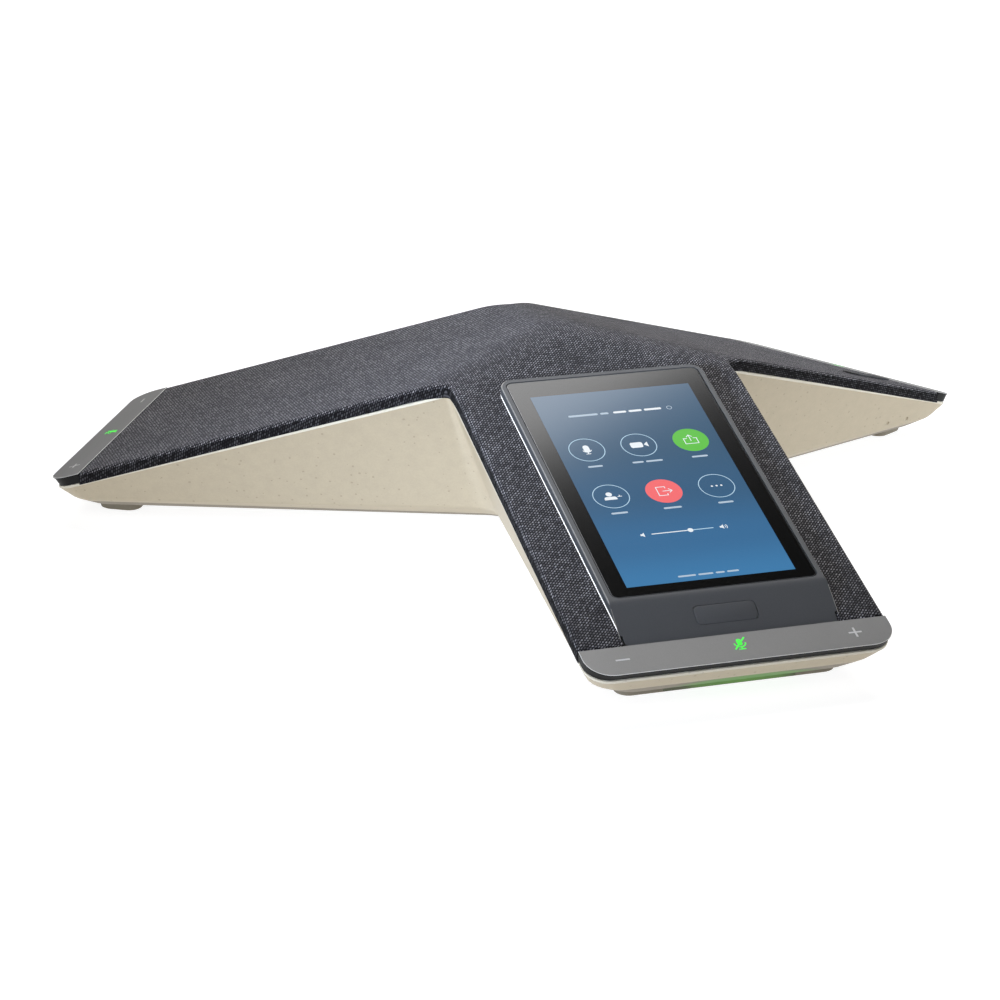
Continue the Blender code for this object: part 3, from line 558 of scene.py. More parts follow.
def loft(name, loops, bands=None, ring=False, cap_bands=(0, 0)):
    """A mesh through loops of equal length; bands gives each step's material, ring joins last to first."""
    shape = bmesh.new()
    rings = [[shape.verts.new(point) for point in loop] for loop in loops]
    steps = list(zip(rings, rings[1:])) + ([(rings[-1], rings[0])] if ring else [])
    for number, (lower, upper) in enumerate(steps):
        for index, start in enumerate(lower):
            after = (index + 1) % len(lower)
            face = shape.faces.new((start, lower[after], upper[after], upper[index]))
            face.material_index = bands[number] if bands else 0
    if not ring:
        shape.faces.new(reversed(rings[0])).material_index = cap_bands[0]
        shape.faces.new(rings[-1]).material_index = cap_bands[1]
    return mesh_of(shape, name)


def prism(name, outline, low, high):
    return loft(name, [lifted(outline, low), lifted(outline, high)])


def cuboid(name, low, high):
    shape = bmesh.new()
    made = bmesh.ops.create_cube(shape, size=1.0)
    size, centre = Vector(high) - Vector(low), (Vector(high) + Vector(low)) / 2
    bmesh.ops.scale(shape, vec=size, verts=made["verts"])
    bmesh.ops.translate(shape, vec=centre, verts=made["verts"])
    return mesh_of(shape, name)


def edged(outline, profile):
    """Loops for a flat piece with shaped edges: outline(inset) at each (inset, height)."""
    return [lifted(outline(inset), height) for inset, height in profile]


def piece(name, mesh, place, looks, body="housing", stands_for=(), sharp=32):
    mesh.transform(place)
    made = bpy.data.objects.new(name, mesh)
    link(made)
    for look in looks:
        mesh.materials.append(LOOKS[look])
    mesh.polygons.foreach_set("use_smooth", [True] * len(mesh.polygons))
    mesh.set_sharp_from_angle(angle=radians(sharp))
    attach(made, body)
    if stands_for:
        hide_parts(*stands_for)
    return made


def cut(mesh, cutters):
    """The mesh with each cutter mesh taken away, as a new mesh; cutters are (mesh, matrix) pairs."""
    body = bpy.data.objects.new("cut_body", mesh)
    link(body)
    tools = []
    for number, (tool_mesh, place) in enumerate(cutters):
        tool = bpy.data.objects.new(f"cut_tool_{number}", tool_mesh)
        link(tool)
        tool.matrix_world = place
        boolean = body.modifiers.new(tool.name, "BOOLEAN")
        boolean.operation = "DIFFERENCE"
        boolean.object = tool
        tools.append(tool)
    bpy.context.view_layer.update()
    evaluated = body.evaluated_get(bpy.context.evaluated_depsgraph_get())
    result = bpy.data.meshes.new_from_object(evaluated)
    for item in (body, *tools):
        bpy.data.objects.remove(item)
    return result


# ---- the fabric

def roof_surface():
    """The roof with soft ridges, for looking up heights."""
    depth, reach = 0.4 * ROOF_SLOPE, 0.4
    bpy.ops.mesh.primitive_cone_add(vertices=3, radius1=2 * reach, radius2=0, depth=depth)
    cone = bpy.context.object
    cone.location = (0, 0, APEX_HEIGHT - depth / 2)
    bevel = cone.modifiers.new("ridges", "BEVEL")
    bevel.width = RIDGE_WIDTH
    bevel.segments = 14
    bpy.context.view_layer.update()
    graph = bpy.context.evaluated_depsgraph_get()
    shape = bmesh.new()
    shape.from_mesh(bpy.data.meshes.new_from_object(cone.evaluated_get(graph)))
    shape.transform(cone.matrix_world)
    tree = BVHTree.FromBMesh(shape)
    shape.free()
    bpy.data.objects.remove(cone)
    return tree


def roof_height(tree, x, y):
    hit = tree.ray_cast(Vector((x, y, 0.2)), Vector((0, 0, -1)))[0]
    return hit.z


def cover_outline(inset):
    """The cloth's edge in plan, drawn in by inset at its sides and by less at its butted ends."""
    butt = inset * END_ROLL
    points = []
    for index in range(3):
        half = LEG_HALF - inset
        side = half_leg(half, 0, COVER_END - butt, 0.0006, INNER_CORNER + inset, 40, 10, 3)
        near = [(-across, -out) for out, across in side]
        far = [(across, -out) for out, across in reversed(side)]
        if index == 0:
            edge = NOTCH_HALF + butt
            top = NOTCH_TOP * cos(TILT) - butt
            end = COVER_END - butt
            rise = end - top - NOTCH_CORNER
            left = [(-edge, -end + rise * run / 24) for run in range(25)]
            corner = arc((-edge + NOTCH_CORNER, -top - NOTCH_CORNER), NOTCH_CORNER, pi, pi / 2, 6)[1:]
            notch = left + corner
            notch += [(-x, y) for x, y in reversed(notch)]
            leg = near + notch + far
        else:
            leg = near + far
        points += on_leg(leg[:-1], index)
    return points


def fabric_skin():
    """One continuous stretched sheet over the roof, rolled down at its edges and tucked under."""
    roof = roof_surface()
    roll, steps = 0.0019, 7
    profile = []
    for step in range(steps + 1):
        turn = radians(90) * step / steps
        profile.append((roll * (1 - sin(turn)), roll * (1 - cos(turn)), roll * turn))
    down = LIP_DROP - roll - 0.0004
    profile += [
        (0.0, roll + down * part, roll * pi / 2 + down * part) for part in (0.3, 0.65, 1.0)
    ]
    hem = roll * pi / 2 + down
    profile += [(0.0002, LIP_DROP - 0.0001, hem + 0.0005), (0.0009, LIP_DROP, hem + 0.0013)]
    edge = cover_outline(roll)
    count = len(edge)
    inside = [Vector(point) for point in grid_points(edge)]
    verts, _, faces, *_ = delaunay_2d_cdt(
        [Vector(point) for point in edge] + inside,
        [(index, (index + 1) % count) for index in range(count)],
        [],
        1,
        1e-7,
    )
    shape = bmesh.new()
    weave = shape.loops.layers.uv.new("weave")
    flat = {}
    made = []
    for point in verts:
        vert = shape.verts.new((point.x, point.y, roof_height(roof, point.x, point.y)))
        flat[vert] = (point.x, point.y)
        made.append(vert)
    for face in faces:
        shape.faces.new([made[index] for index in face])
    edge_verts = ring_on_edge(made, edge)
    outer = cover_outline(0)
    last = edge_verts
    for inset, drop, length in profile[1:]:
        outline = cover_outline(inset)
        ring = []
        for index, (x, y) in enumerate(outline):
            vert = shape.verts.new((x, y, roof_height(roof, x, y) - drop))
            way = Vector(outer[index]) - Vector(edge[index])
            way = way.normalized() if way.length > 1e-9 else way
            flat[vert] = tuple(Vector(edge[index]) + way * length)
            ring.append(vert)
        for index in range(count):
            after = (index + 1) % count
            face = shape.faces.new((last[index], last[after], ring[after], ring[index]))
            # faces lower than HEM_DROP take the darker hem material: painted shade on the turned-down lip
            face.material_index = 1 if drop > HEM_DROP else 0
        last = ring
    for face in shape.faces:
        for loop in face.loops:
            x, y = flat[loop.vert]
            loop[weave].uv = (x / MM, y / MM)
    area = sum(face.calc_area() for face in shape.faces)
    mesh = mesh_of(shape, "fabric_skin")
    looks = ["charcoal_fabric", "painted_shade_hem"]
    skin = piece("fabric_skin", mesh, PHONE, looks, stands_for=["fabric_cover"], sharp=80)


def ring_on_edge(made, edge):
    """The mesh vertices that lie on the edge loop, in the loop's order."""
    found = {(round(vert.co.x, 7), round(vert.co.y, 7)): vert for vert in made}
    ring = []
    for x, y in edge:
        key = (round(x, 7), round(y, 7))
        ring.append(found.get(key) or min(made, key=lambda vert: hypot(vert.co.x - x, vert.co.y - y)))
    return ring


def grid_points(edge):
    """Points inside the cloth: an even grid in each leg, closer near the ridges."""
    points = []
    notch_top = NOTCH_TOP * cos(TILT)
    for index in range(3):
        inside = []
        for step_out in range(1, 120):
            out = GRID * step_out
            near_ridge = out < LEG_HALF / tan(SIXTH_TURN) + 0.03
            if not near_ridge and step_out % 3:
                continue
            if out > COVER_END - 0.004:
                continue
            for step_across in range(-35, 36):
                across = GRID * step_across
                limit = out * tan(SIXTH_TURN)
                if abs(across) > min(limit, LEG_HALF - 0.0028):
                    continue
                close = (limit - abs(across)) * 0.5 < 0.016
                if not close and step_across % 3:
                    continue
                if index == 0 and abs(across) < NOTCH_HALF + GRID and out > notch_top - GRID:
                    continue
                inside.append((across, -out))
        points += on_leg(inside, index)
    return points


# ---- the base

def between(first, second, part):
    return tuple(a + (b - a) * part for a, b in zip(first, second))


def soften(low, corner, high, before, after, steps):
    """Loops that round the corner between three loops, point by point."""
    loops = []
    for step in range(steps + 1):
        part = step / steps
        loop = []
        for below, middle, above in zip(low, corner, high):
            start = Vector(middle) + (Vector(below) - Vector(middle)).normalized() * before
            end = Vector(middle) + (Vector(above) - Vector(middle)).normalized() * after
            bend = start * (1 - part) ** 2 + Vector(middle) * 2 * part * (1 - part) + end * part**2
            loop.append(tuple(bend))
        loops.append(loop)
    return loops


def base_surfaces(inset):
    lip = star(BASE_HALF - inset, 0, BASE_TIP - inset, 0.0085 - inset / 2, 0.004 + inset)
    chamfer = star(CHAMFER_HALF - inset, CHAMFER_TAPER, CHAMFER_TIP - inset, 0.0095, 0.012 + inset)
    floor = star(FLOOR_HALF - inset, FLOOR_TAPER, FLOOR_TIP - inset, 0.01, 0.014 + inset)
    low = [(x, y, FLOOR_Z - FLOOR_FALL * out_along_leg(x, y)) for x, y in floor]
    edge = [(x, y, CHAMFER_RISE - CHAMFER_FALL * out_along_leg(x, y)) for x, y in chamfer]
    rim = [(x, y, APEX_HEIGHT - BASE_DROP - RIM_DROP - LIP_SLOPE * out_along_leg(x, y)) for x, y in lip]
    top = [(x, y, z + RIM_THICK) for x, y, z in rim]
    return low, edge, rim, top


def base_walls():
    """The lower housing's leaning walls, with a soft chamfer edge and a lighter rim; the rim's lighter colour
    is a painted highlight where its rounded edge catches the light.
    """
    low, edge, rim, top = base_surfaces(0)
    start = [between(a, b, (PLATE_TOP - a[2]) / (b[2] - a[2])) for a, b in zip(low, edge)]
    rounding = soften(start, edge, rim, 0.0011, 0.0016, 5)
    proud = 0.00015
    lip_out = star(BASE_HALF + proud, 0, BASE_TIP + proud, 0.0085, 0.004)
    lip_low = [(x, y, r[2] + 0.00012) for (x, y), r in zip(lip_out, rim)]
    lip_high = [(x, y, t[2] - 0.0003) for (x, y), t in zip(lip_out, top)]
    lip_in = star(BASE_HALF - 0.0003, 0, BASE_TIP - 0.0003, 0.0083, 0.0043)
    lip_top = [(x, y, t[2]) for (x, y), t in zip(lip_in, top)]
    low_in, edge_in, _, top_in = base_surfaces(WALL)
    inner_top = [(x, y, z - 0.0004) for x, y, z in top_in]
    inner_low = [between(a, b, (PLATE_TOP - a[2]) / (b[2] - a[2])) for a, b in zip(low_in, edge_in)]
    loops = [start, *rounding, rim, lip_low, lip_high, lip_top, inner_top, edge_in, inner_low]
    # band 1, the rim and lip, takes the lighter material: painted highlight
    bands = [0] * (len(rounding) + 1) + [1, 1, 1, 1, 0, 0, 0]
    mesh = loft("base_walls", loops, bands, ring=True)
    grow = 0.0003
    bay_low = (-BAY_HALF - grow, BAY_BACK - grow, BAY_LOW - grow)
    bay = cuboid("bay", bay_low, (BAY_HALF + grow, 0.09, BAY_HIGH + grow))
    cutters = [(bay, Matrix())]
    for out, height in DIMPLES:
        cutters.append((dimple_tool(), Matrix.Rotation(2 * SIXTH_TURN, 4, "Z") @ wall_place(out, height)))
    mesh = cut(mesh, cutters)
    piece(
        "base_walls", mesh, PHONE, ["champagne_plastic", "rim_painted_highlight"],
        stands_for=["base_shell"], sharp=28,
    )


def floor_plate():
    """The plate under the base, with its foot recesses and countersunk screw holes."""
    low, edge, _, _ = base_surfaces(0)
    top = [between(a, b, (PLATE_TOP - a[2]) / (b[2] - a[2])) for a, b in zip(low, edge)]
    corner = [between(a, b, 0.16) for a, b in zip(low, top)]
    inner, _, _, _ = base_surfaces(0.0007)
    mesh = loft("floor_plate", [inner, corner, top])
    cutters = []
    for leg in LEGS:
        recess = rounded(0.0413, 0.1583, 0.1781, (0.005, 0.005))
        cutters.append((prism("recess", recess, 0.0, 0.0054), PHONE.inverted() @ leg))
        for across in (-SCREW_ACROSS, SCREW_ACROSS):
            sink = circle((across, -SCREW_R), 0.0032, 24)
            cutters.append((prism("sink", sink, 0.0, 0.0056), PHONE.inverted() @ leg))
    mesh = cut(mesh, cutters)
    piece("floor_plate", mesh, PHONE, ["taupe_plastic"], stands_for=["base_plate"], sharp=28)


def wall_place(out, height):
    """A frame on the outer wall of a leg's -X side, with +Z pointing out of the wall."""
    low = CHAMFER_RISE - CHAMFER_FALL * out
    high = APEX_HEIGHT - BASE_DROP - RIM_DROP - LIP_SLOPE * out
    chamfer = CHAMFER_HALF + CHAMFER_TAPER * out
    across = chamfer + (BASE_HALF - chamfer) * (height - low) / (high - low)
    return Matrix.Translation((-across, -out, height)) @ Matrix.Rotation(radians(-112), 4, "Y")


def dimple_tool():
    bowl = ((0.0003, -0.00052), (0.0007, -0.0004), (0.001, -0.0002), (0.0012, 0.00005), (0.0014, 0.001))
    return loft("dimple", [lifted(circle((0, 0), radius, 24), height) for radius, height in bowl])


# ---- leg ends

def strip_outline(inset, back, tip, corner, steps=10):
    half = LEG_HALF - inset
    first = corner - inset
    points = [(half, -back - inset), (-half, -back - inset)]
    points += arc((-half + first, -tip + inset + first), first, pi, 1.5 * pi, steps)
    points += arc((half - first, -tip + inset + first), first, 1.5 * pi, 2 * pi, steps)
    return points


def flat_shapes(name, shapes, height):
    """One mesh of flat polygons at a height; each shape is a list of (x, y)."""
    shape = bmesh.new()
    for points in shapes:
        face = shape.faces.new([shape.verts.new((x, y, height)) for x, y in points])
        face.normal_update()
        if face.normal.z < 0:
            face.normal_flip()
    mesh = bpy.data.meshes.new(name)
    shape.to_mesh(mesh)
    shape.free()
    return mesh


def stroke(points, width, closed=False):
    """Quads along a line, mitred at its bends."""
    count = len(points)
    sides = []
    for index, point in enumerate(points):
        here = Vector(point)
        before = Vector(points[index - 1]) if closed or index else None
        after = Vector(points[(index + 1) % count]) if closed or index < count - 1 else None
        steps = [(here - before) if before else None, (after - here) if after else None]
        ways = [way.normalized() for way in steps if way]
        normals = [Vector((-way.y, way.x)) for way in ways]
        mean = sum(normals, Vector((0, 0))).normalized()
        reach = width / 2 / max(mean.dot(normals[0]), 0.3)
        sides.append((tuple(here + mean * reach), tuple(here - mean * reach)))
    pairs = list(zip(sides, sides[1:])) + ([(sides[-1], sides[0])] if closed else [])
    return [(a[0], a[1], b[1], b[0]) for a, b in pairs]


def circle(centre, radius, steps=48):
    return arc(centre, radius, 0, 2 * pi, steps)[:-1]


def moved(shapes, x, y):
    return [[(x + px, y + py) for px, py in shape] for shape in shapes]


def capsule(width, height, x=0.0, y=0.0, steps=8):
    radius = width / 2
    body = height / 2 - radius
    return arc((x, y + body), radius, 0, pi, steps) + arc((x, y - body), radius, pi, 2 * pi, steps)


def muted_microphone():
    """A microphone with a bar across it, about 5.2 wide and 6.6 tall, in millimetres."""
    shapes = [capsule(1.9, 3.4, 0, 0.9)]
    shapes += stroke(arc((0, 0.5), 2.0, pi, 2 * pi, 14), 0.5)
    shapes += stroke([(0, -1.5), (0, -2.5)], 0.5)
    shapes += stroke([(-1.3, -2.6), (1.3, -2.6)], 0.5)
    shapes += stroke([(-2.5, -2.5), (2.5, 3.1)], 0.6)
    return shapes


def leg_ends():
    back, tip = down_slope(STRIP_BACK), down_slope(STRIP_TIP)
    bevel = 0.00012
    for leg, place in zip(LEG_NAMES, SLOPES):
        # the top bevel takes the pale glowing edge material, a painted highlight
        plate = loft(
            f"strip_plate_{leg}",
            edged(lambda inset: strip_outline(inset, back, tip, TIP_CORNER), [
                (0.0001, -0.0005), (0, -0.00042), (0, -bevel), (bevel, 0.0),
            ]),
            [2, 2, 1],
        )
        piece(
            f"strip_plate_{leg}", plate, place,
            ["satin_grey_metal", "painted_highlight_strip_edge", "band_black"],
            stands_for=[f"touch_strip_{leg}"], sharp=20,
        )
        under = loft(f"strip_skirt_{leg}", [
            lifted(strip_outline(inset, back, tip - short, corner), height)
            for inset, short, corner, height in (
                (0.0006, 0.0034, 0.0088, -0.0039), (0.0003, 0.0014, 0.0090, -0.0036),
                (0.0001, 0.0005, 0.0095, -0.0010), (0.0001, 0.0002, 0.0095, -0.0005),
            )
        ])
        piece(
            f"strip_skirt_{leg}", under, place, ["band_black"],
            stands_for=[f"strip_carrier_{leg}"],
        )
        middle = -down_slope(0.1851) / MM
        minus = stroke([(-44.8, middle), (-39.8, middle)], 0.75)
        plus = stroke([(39.4, middle), (44.2, middle)], 0.75)
        plus += stroke([(41.8, middle - 2.4), (41.8, middle - 0.375)], 0.75)
        plus += stroke([(41.8, middle + 0.375), (41.8, middle + 2.4)], 0.75)
        marks = flat_shapes(f"strip_marks_{leg}", minus + plus, 0)
        scale_down(marks, 0.00003)
        piece(f"strip_marks_{leg}", marks, place, ["mark_grey"])
        icon = flat_shapes(f"strip_light_{leg}", moved(muted_microphone(), 0, -down_slope(0.1842) / MM), 0)
        scale_down(icon, 0.00004)
        piece(f"strip_light_{leg}", icon, place, ["led_green"])


def scale_down(mesh, height):
    """Turns a flat mesh drawn in millimetres into metres, at a height."""
    mesh.transform(Matrix.Translation((0, 0, height)) @ Matrix.Diagonal((MM, MM, 1, 1)))


def feet():
    for leg, place in zip(LEG_NAMES, LEGS):
        profile = [(0.0011, 0.0), (0.0005, 0.0001), (0.0001, 0.0004), (0.0, 0.0009)]
        loops = edged(
            lambda inset: rounded(0.0401 - inset, 0.1603 + inset, 0.1768 - inset, (0.0045, 0.0045)), profile
        )
        loops.append(lifted(rounded(0.041, 0.1586, 0.1778, (0.0047, 0.0047)), 0.0051))
        foot = cut(loft(f"foot_pad_{leg}", loops), [
            (cuboid("notch", (-0.0243, -0.19, 0.0004), (0.0243, -0.1749, 0.0042)), Matrix()),
        ])
        piece(f"foot_pad_{leg}", foot, place, ["taupe_rubber"], stands_for=[f"foot_{leg}"])
        glow = loft(f"pipe_{leg}", [
            lifted(rounded(0.0242, 0.1751, 0.1770, (0.0004, 0.0004)), 0.0005),
            lifted(rounded(0.0242, 0.1751, 0.1777, (0.0004, 0.0004)), 0.0041),
        ])
        uv = glow.uv_layers.new(name="pipe")
        for loop in glow.loops:
            uv.data[loop.index].uv = ((glow.vertices[loop.vertex_index].co.x - GLOW_ACROSS) / 0.022, 0)
        piece(
            f"foot_light_{leg}", glow, place, ["light_pipe_green"],
            stands_for=[f"light_pipe_{leg}"],
        )


# ---- the screen

def chin_cutter():
    """What lies above the chin: its underside follows the bend below the glass."""
    bend, radius = Vector((-CHIN_BEND, PANEL_RISE)), 0.009
    half_turn = CHIN_TURN / 2
    tangent = radius * tan(half_turn)
    centre = Vector((bend.x + tangent, bend.y - radius))
    curve = arc(centre, radius, pi / 2, pi / 2 + CHIN_TURN, 8)
    end = (-0.21, PANEL_RISE - (0.21 - CHIN_BEND) * tan(CHIN_TURN))
    profile = [(-CHIN_BEND + 0.02, PANEL_RISE), *curve, end, (-0.21, 0.03), (-CHIN_BEND + 0.02, 0.03)]
    return loft("chin_cutter", [[(x, y, z) for y, z in profile] for x in (-0.06, 0.06)])


def key_outline(grow, corner=0.0018, steps=8):
    half = KEY_HALF + grow
    top, end = KEY_DOWN - KEY_LENGTH / 2 - grow, KEY_DOWN + KEY_LENGTH / 2 + grow
    return rounded(half, top, end, (corner, corner), steps)


def bezel():
    """The screen's surround and chin, with a glowing white band low on its sides over the cloth and a lighter
    upper edge, both painted highlights.
    """
    end = down_slope(STRIP_BACK) - 0.0003
    rise = PANEL_RISE
    profile = [
        (BEZEL_WAIST, -0.003), (BEZEL_WAIST, 0.0003), (BEZEL_HALF - 0.0003, 0.0004),
        (BEZEL_HALF - 0.00025, 0.0012), (BEZEL_HALF - 0.0001, 0.0032),
        (BEZEL_HALF, 0.0038), (BEZEL_HALF - 0.00008, rise - 0.0003), (BEZEL_HALF - 0.0004, rise),
    ]
    loops = []
    for half, height in profile:
        top = BEZEL_TOP + (BEZEL_HALF - half)
        loops.append(lifted(rounded(half, top, end, (0.005, 0.0002), 10), height))
    # band 2 glows white and band 6 is a lighter slate: painted highlights on the lower side and the upper edge
    bands = [0, 0, 1, 0, 0, 0, 2]
    body = loft("screen_surround", loops, bands)
    grow = 0.0003
    pocket = rounded(GLASS_HALF + grow, GLASS_TOP - grow, GLASS_END + grow, (0.0028, 0.0028), 8)
    slot = key_outline(0.00012, 0.0019)
    key = prism("key_hole", slot, -0.02, 0.01)
    hollow = cuboid("hollow", (-0.0363, -0.17, -0.01), (0.0363, -0.0446, 0.0009))
    mesh = cut(body, [
        (prism("glass_pocket", pocket, 0.0024, 0.01), Matrix()),
        (chin_cutter(), Matrix()),
        (key, SLOPES[0].inverted() @ CHIN),
        (hollow, Matrix()),
    ])
    piece(
        "screen_surround", mesh, SLOPES[0], ["slate_plastic", "painted_highlight_band", "painted_highlight_slate_edge"],
        stands_for=["screen_bezel"], sharp=25,
    )


def chin_highlight_lines():
    """A thin light line along each side of the chin: a painted highlight on its edge."""
    start, fall, width = CHIN_BEND + 0.0022, tan(CHIN_TURN), 0.00022
    end = down_slope(STRIP_BACK) - 0.0004
    for name, side in (("left", -1), ("right", 1)):
        outer, inner = side * (BEZEL_HALF - 0.00004), side * (BEZEL_HALF - 0.00004 - width)
        rows = [(-along, PANEL_RISE - (along - CHIN_BEND) * fall + 0.00005) for along in (start, end)]
        shape = bmesh.new()
        corners = [(outer, *rows[0]), (inner, *rows[0]), (inner, *rows[1]), (outer, *rows[1])]
        shape.faces.new([shape.verts.new(corner) for corner in corners])
        mesh = mesh_of(shape, f"chin_highlight_line_{name}")
        piece(f"chin_highlight_line_{name}", mesh, SLOPES[0], ["painted_highlight_slate_edge"])


def home_key():
    profile = [(0.0, -0.0025), (0.0, -0.0003), (0.00012, 0.00002), (0.0004, 0.00013)]
    cap = loft("key_cap", edged(lambda inset: key_outline(-inset, 0.0018), profile))
    piece("key_cap", cap, CHIN, ["slate_plastic"], body="home_key", stands_for=["home_key"])
    flange = prism("key_flange", key_outline(0.0012), -0.0031, -0.0026)
    piece("key_flange", flange, CHIN, ["slate_plastic"], body="home_key")


def glass():
    def outline(inset):
        corners = (0.0025 - inset, 0.0025 - inset)
        return rounded(GLASS_HALF - inset, GLASS_TOP + inset, GLASS_END - inset, corners)

    rise = PANEL_RISE
    profile = [(0, 0.00275), (0, rise - 0.0004), (0.00006, rise - 0.0002), (0.0003, rise - 0.0001)]
    mesh = loft("glass_plate", edged(outline, profile), [0, 0, 1])
    looks = ["cover_glass", "glass_rim"]
    piece("glass_plate", mesh, SLOPES[0], looks, stands_for=["screen_glass"], sharp=20)
    image = flat_shapes("display_image", [[
        (-ACTIVE_HALF, -ACTIVE_TOP - ACTIVE_LENGTH), (ACTIVE_HALF, -ACTIVE_TOP - ACTIVE_LENGTH),
        (ACTIVE_HALF, -ACTIVE_TOP), (-ACTIVE_HALF, -ACTIVE_TOP),
    ]], IMAGE_RISE)
    uv = image.uv_layers.new(name="screen")
    for loop in image.loops:
        place = image.vertices[loop.vertex_index].co
        uv.data[loop.index].uv = (place.x / ACTIVE_HALF / 2 + 0.5, 1 + (place.y + ACTIVE_TOP) / ACTIVE_LENGTH)
    piece("display_image", image, SLOPES[0], ["screen_image"])


def wording(start, end, height, words):
    """Rounded bars that stand for the words of a line, with no letters in them; words are shares of it."""
    gap = 0.9
    free = end - start - gap * (len(words) - 1)
    shapes, x = [], start
    for share in words:
        width = free * share / sum(words)
        radius = height / 2
        bar = arc((x + width - radius, radius), radius, -pi / 2, pi / 2, 6)
        bar += arc((x + radius, radius), radius, pi / 2, 1.5 * pi, 6)
        shapes.append(bar)
        x += width + gap
    return shapes


def screen_marks():
    """Buttons, symbols and rows of blocks on the display, in millimetres from its top edge's middle."""
    rows, columns = (33.8, 61.2), (-20.1, -0.2, 19.9)
    radius = 6.7
    white, line, soft, green, coral = [], [], [], [], []
    filled = {(0, 2): green, (1, 1): coral}
    for row, down in enumerate(rows):
        for column, across in enumerate(columns):
            if (row, column) in filled:
                filled[row, column].append(circle((across, -down), radius, 64))
            else:
                line += stroke(circle((across, -down), radius - 0.15, 64), 0.3, True)
    white += moved(microphone_mark(), -20.1, -33.8)
    white += moved(camera_mark(), -0.2, -33.8)
    white_on_fill = moved(share_mark(), 19.9, -33.8) + moved(leave_mark(), -0.2, -61.2)
    white += moved(person_mark(), -20.1, -61.2)
    white += [circle((19.9 + x, -61.2), 0.42, 16) for x in (-1.8, 0, 1.8)]
    for across, down, wide, words in (
        (-20.1, 44.1, 5.6, (1,)), (-0.2, 44.1, 11.6, (2, 3)), (19.9, 44.1, 6.2, (1,)),
        (-20.1, 71.2, 6.2, (1,)), (-0.2, 71.2, 6.8, (1,)), (19.9, 71.2, 5.8, (1,)),
    ):
        soft += moved(wording(-wide / 2, wide / 2, 0.95, words), across, -down)
    soft += moved(wording(-20.6, -5.0, 1.1, (7, 2)), 0, -14.1)
    white += moved(wording(-3.2, 15.6, 1.15, (3, 3, 4)), 0, -14.1)
    soft += stroke(circle((18.7, -13.6), 0.95, 24), 0.25, True)
    soft += moved(wording(-11.5, 11.0, 0.85, (6, 5, 3, 4)), 0, -108.1)
    white += stroke([(-12.8, -83.9), (0.6, -83.9)], 0.45)
    line += stroke([(2.8, -83.9), (10.3, -83.9)], 0.4)
    white.append(circle((1.7, -83.9), 1.05, 32))
    white += moved(speaker_mark(0), -15.9, -83.9)
    white += moved(speaker_mark(2), 13.7, -83.9)
    groups = (
        ("screen_lines", line, "ui_line", 1), ("screen_white", white, "ui_white", 1),
        ("screen_soft", soft, "ui_soft", 1),
        ("screen_green", green, "ui_green", 1), ("screen_coral", coral, "ui_coral", 1),
        ("screen_on_fill", white_on_fill, "ui_white", 2),
    )
    for name, shapes, look, layer in groups:
        mesh = flat_shapes(name, shapes, 0)
        scale_down(mesh, IMAGE_RISE + 0.00002 * layer)
        mesh.transform(Matrix.Translation((0, -ACTIVE_TOP, 0)))
        piece(name, mesh, SLOPES[0], [look])


def microphone_mark():
    shapes = [capsule(2.3, 4.2, 0, 0.6)]
    shapes += stroke(arc((0, 0.4), 1.75, 1.12 * pi, 1.88 * pi, 10), 0.35)
    shapes += stroke([(0, -1.4), (0, -2.3)], 0.4)
    shapes += stroke([(-0.9, -2.35), (0.9, -2.35)], 0.35)
    return shapes


def camera_mark():
    body = [
        (-3.2, -1.0), (-2.7, -1.5), (0.9, -1.5), (1.5, -1.0), (1.5, 1.1), (1.0, 1.6), (-2.7, 1.6), (-3.2, 1.1),
    ]
    return [body, [(1.9, 0.0), (3.5, -1.4), (3.5, 1.5)]]


def share_mark():
    shapes = stroke([(-1.1, 1.0), (-2.5, 1.0), (-2.5, -2.1), (2.5, -2.1), (2.5, 1.0), (1.1, 1.0)], 0.32)
    shapes += stroke([(0, -0.6), (0, 2.9)], 0.32)
    shapes += stroke([(-1.1, 1.8), (0, 3.0), (1.1, 1.8)], 0.32)
    return shapes


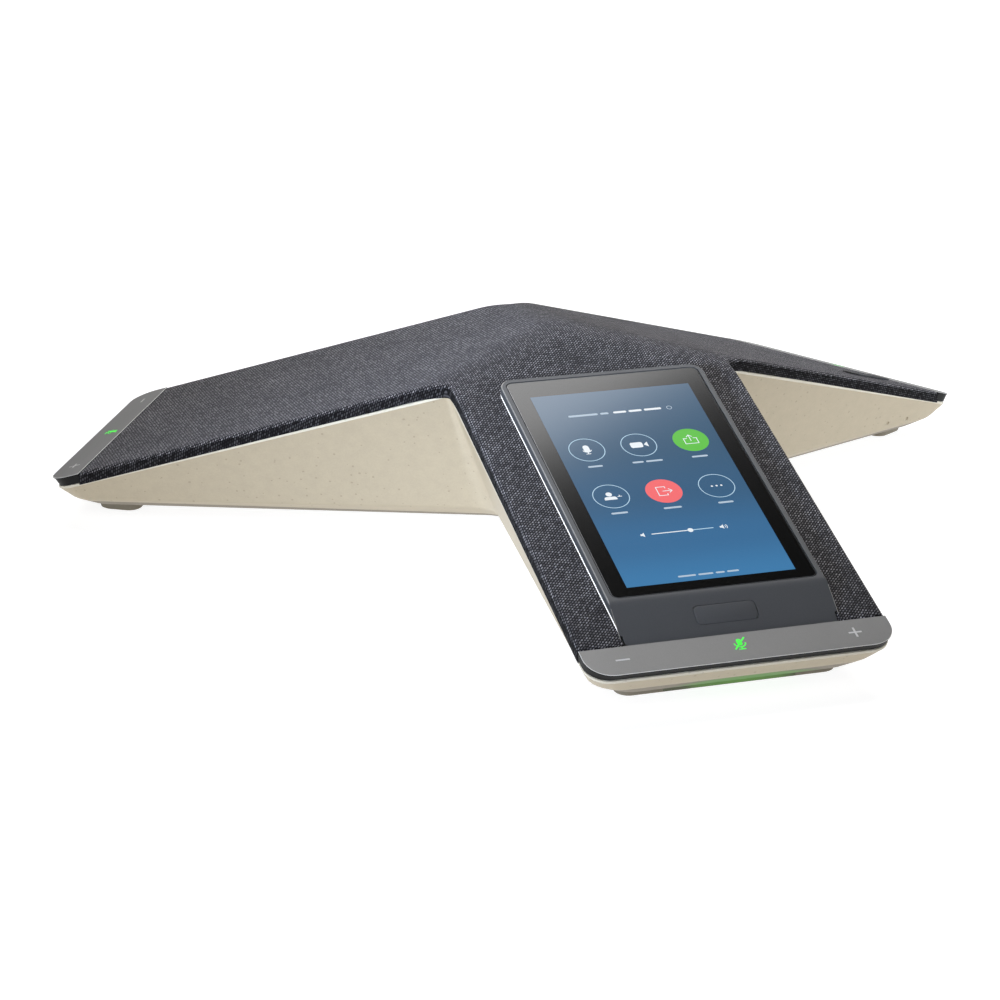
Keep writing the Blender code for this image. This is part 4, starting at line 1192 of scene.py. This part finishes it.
def leave_mark():
    shapes = stroke([(0.9, 1.5), (0.9, 2.4), (-2.4, 2.4), (-2.4, -2.4), (0.9, -2.4), (0.9, -1.5)], 0.32)
    shapes += stroke([(-0.5, 0), (3.0, 0)], 0.32)
    shapes += stroke([(1.9, 1.1), (3.1, 0), (1.9, -1.1)], 0.32)
    return shapes


def person_mark():
    head = circle((-0.5, 1.2), 1.15, 24)
    shoulders = [(-2.8, -1.9), (1.9, -1.9), *arc((0.9, -1.2), 1.0, 0, pi / 2, 6)]
    shoulders += arc((-1.8, -1.2), 1.0, pi / 2, pi, 6)
    plus = stroke([(2.3, -0.4), (3.9, -0.4)], 0.35) + stroke([(3.1, 0.4), (3.1, -0.22)], 0.35)
    return [head, shoulders, *plus]


def speaker_mark(waves):
    shapes = [[(-1.0, -0.45), (-0.4, -0.45), (0.45, -1.15), (0.45, 1.15), (-0.4, 0.45), (-1.0, 0.45)]]
    for wave in range(waves):
        shapes += stroke(arc((0.4, 0), 0.8 + 0.6 * wave, -0.8, 0.8, 6), 0.25)
    return shapes


# ---- small parts

def plaque():
    """A blank plaque where the photographed object wears its badge."""
    def outline(inset):
        return rounded(0.0042 - inset, -0.0125 + inset, 0.0125 - inset, (0.0015 - inset * 0.6,) * 2, 6)

    place = SLOPES[1] @ Matrix.Translation((-0.0366, -down_slope(0.1522), 0))
    profile = [(0, 0.0002), (0, 0.0006), (0.00025, 0.0009), (0.0006, 0.0009), (0.0008, 0.0006)]
    mesh = loft("blank_plaque", edged(outline, profile), [0, 0, 1, 0])
    looks = ["badge_face", "gloss_black"]
    piece("blank_plaque", mesh, place, looks, stands_for=["badge_plaque"])


def dress_cad():
    """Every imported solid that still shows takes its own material."""
    slots = {part["node"]: part["material_slot"] for part in frame["record"]["subparts"]}
    for name, item in frame["nodes"].items():
        item.data.materials.clear()
        item.data.materials.append(LOOKS[slots[name]])


camera()
make_looks()
studio()
dress_cad()
fabric_skin()
base_walls()
floor_plate()
leg_ends()
feet()
bezel()
chin_highlight_lines()
home_key()
glass()
screen_marks()
plaque()
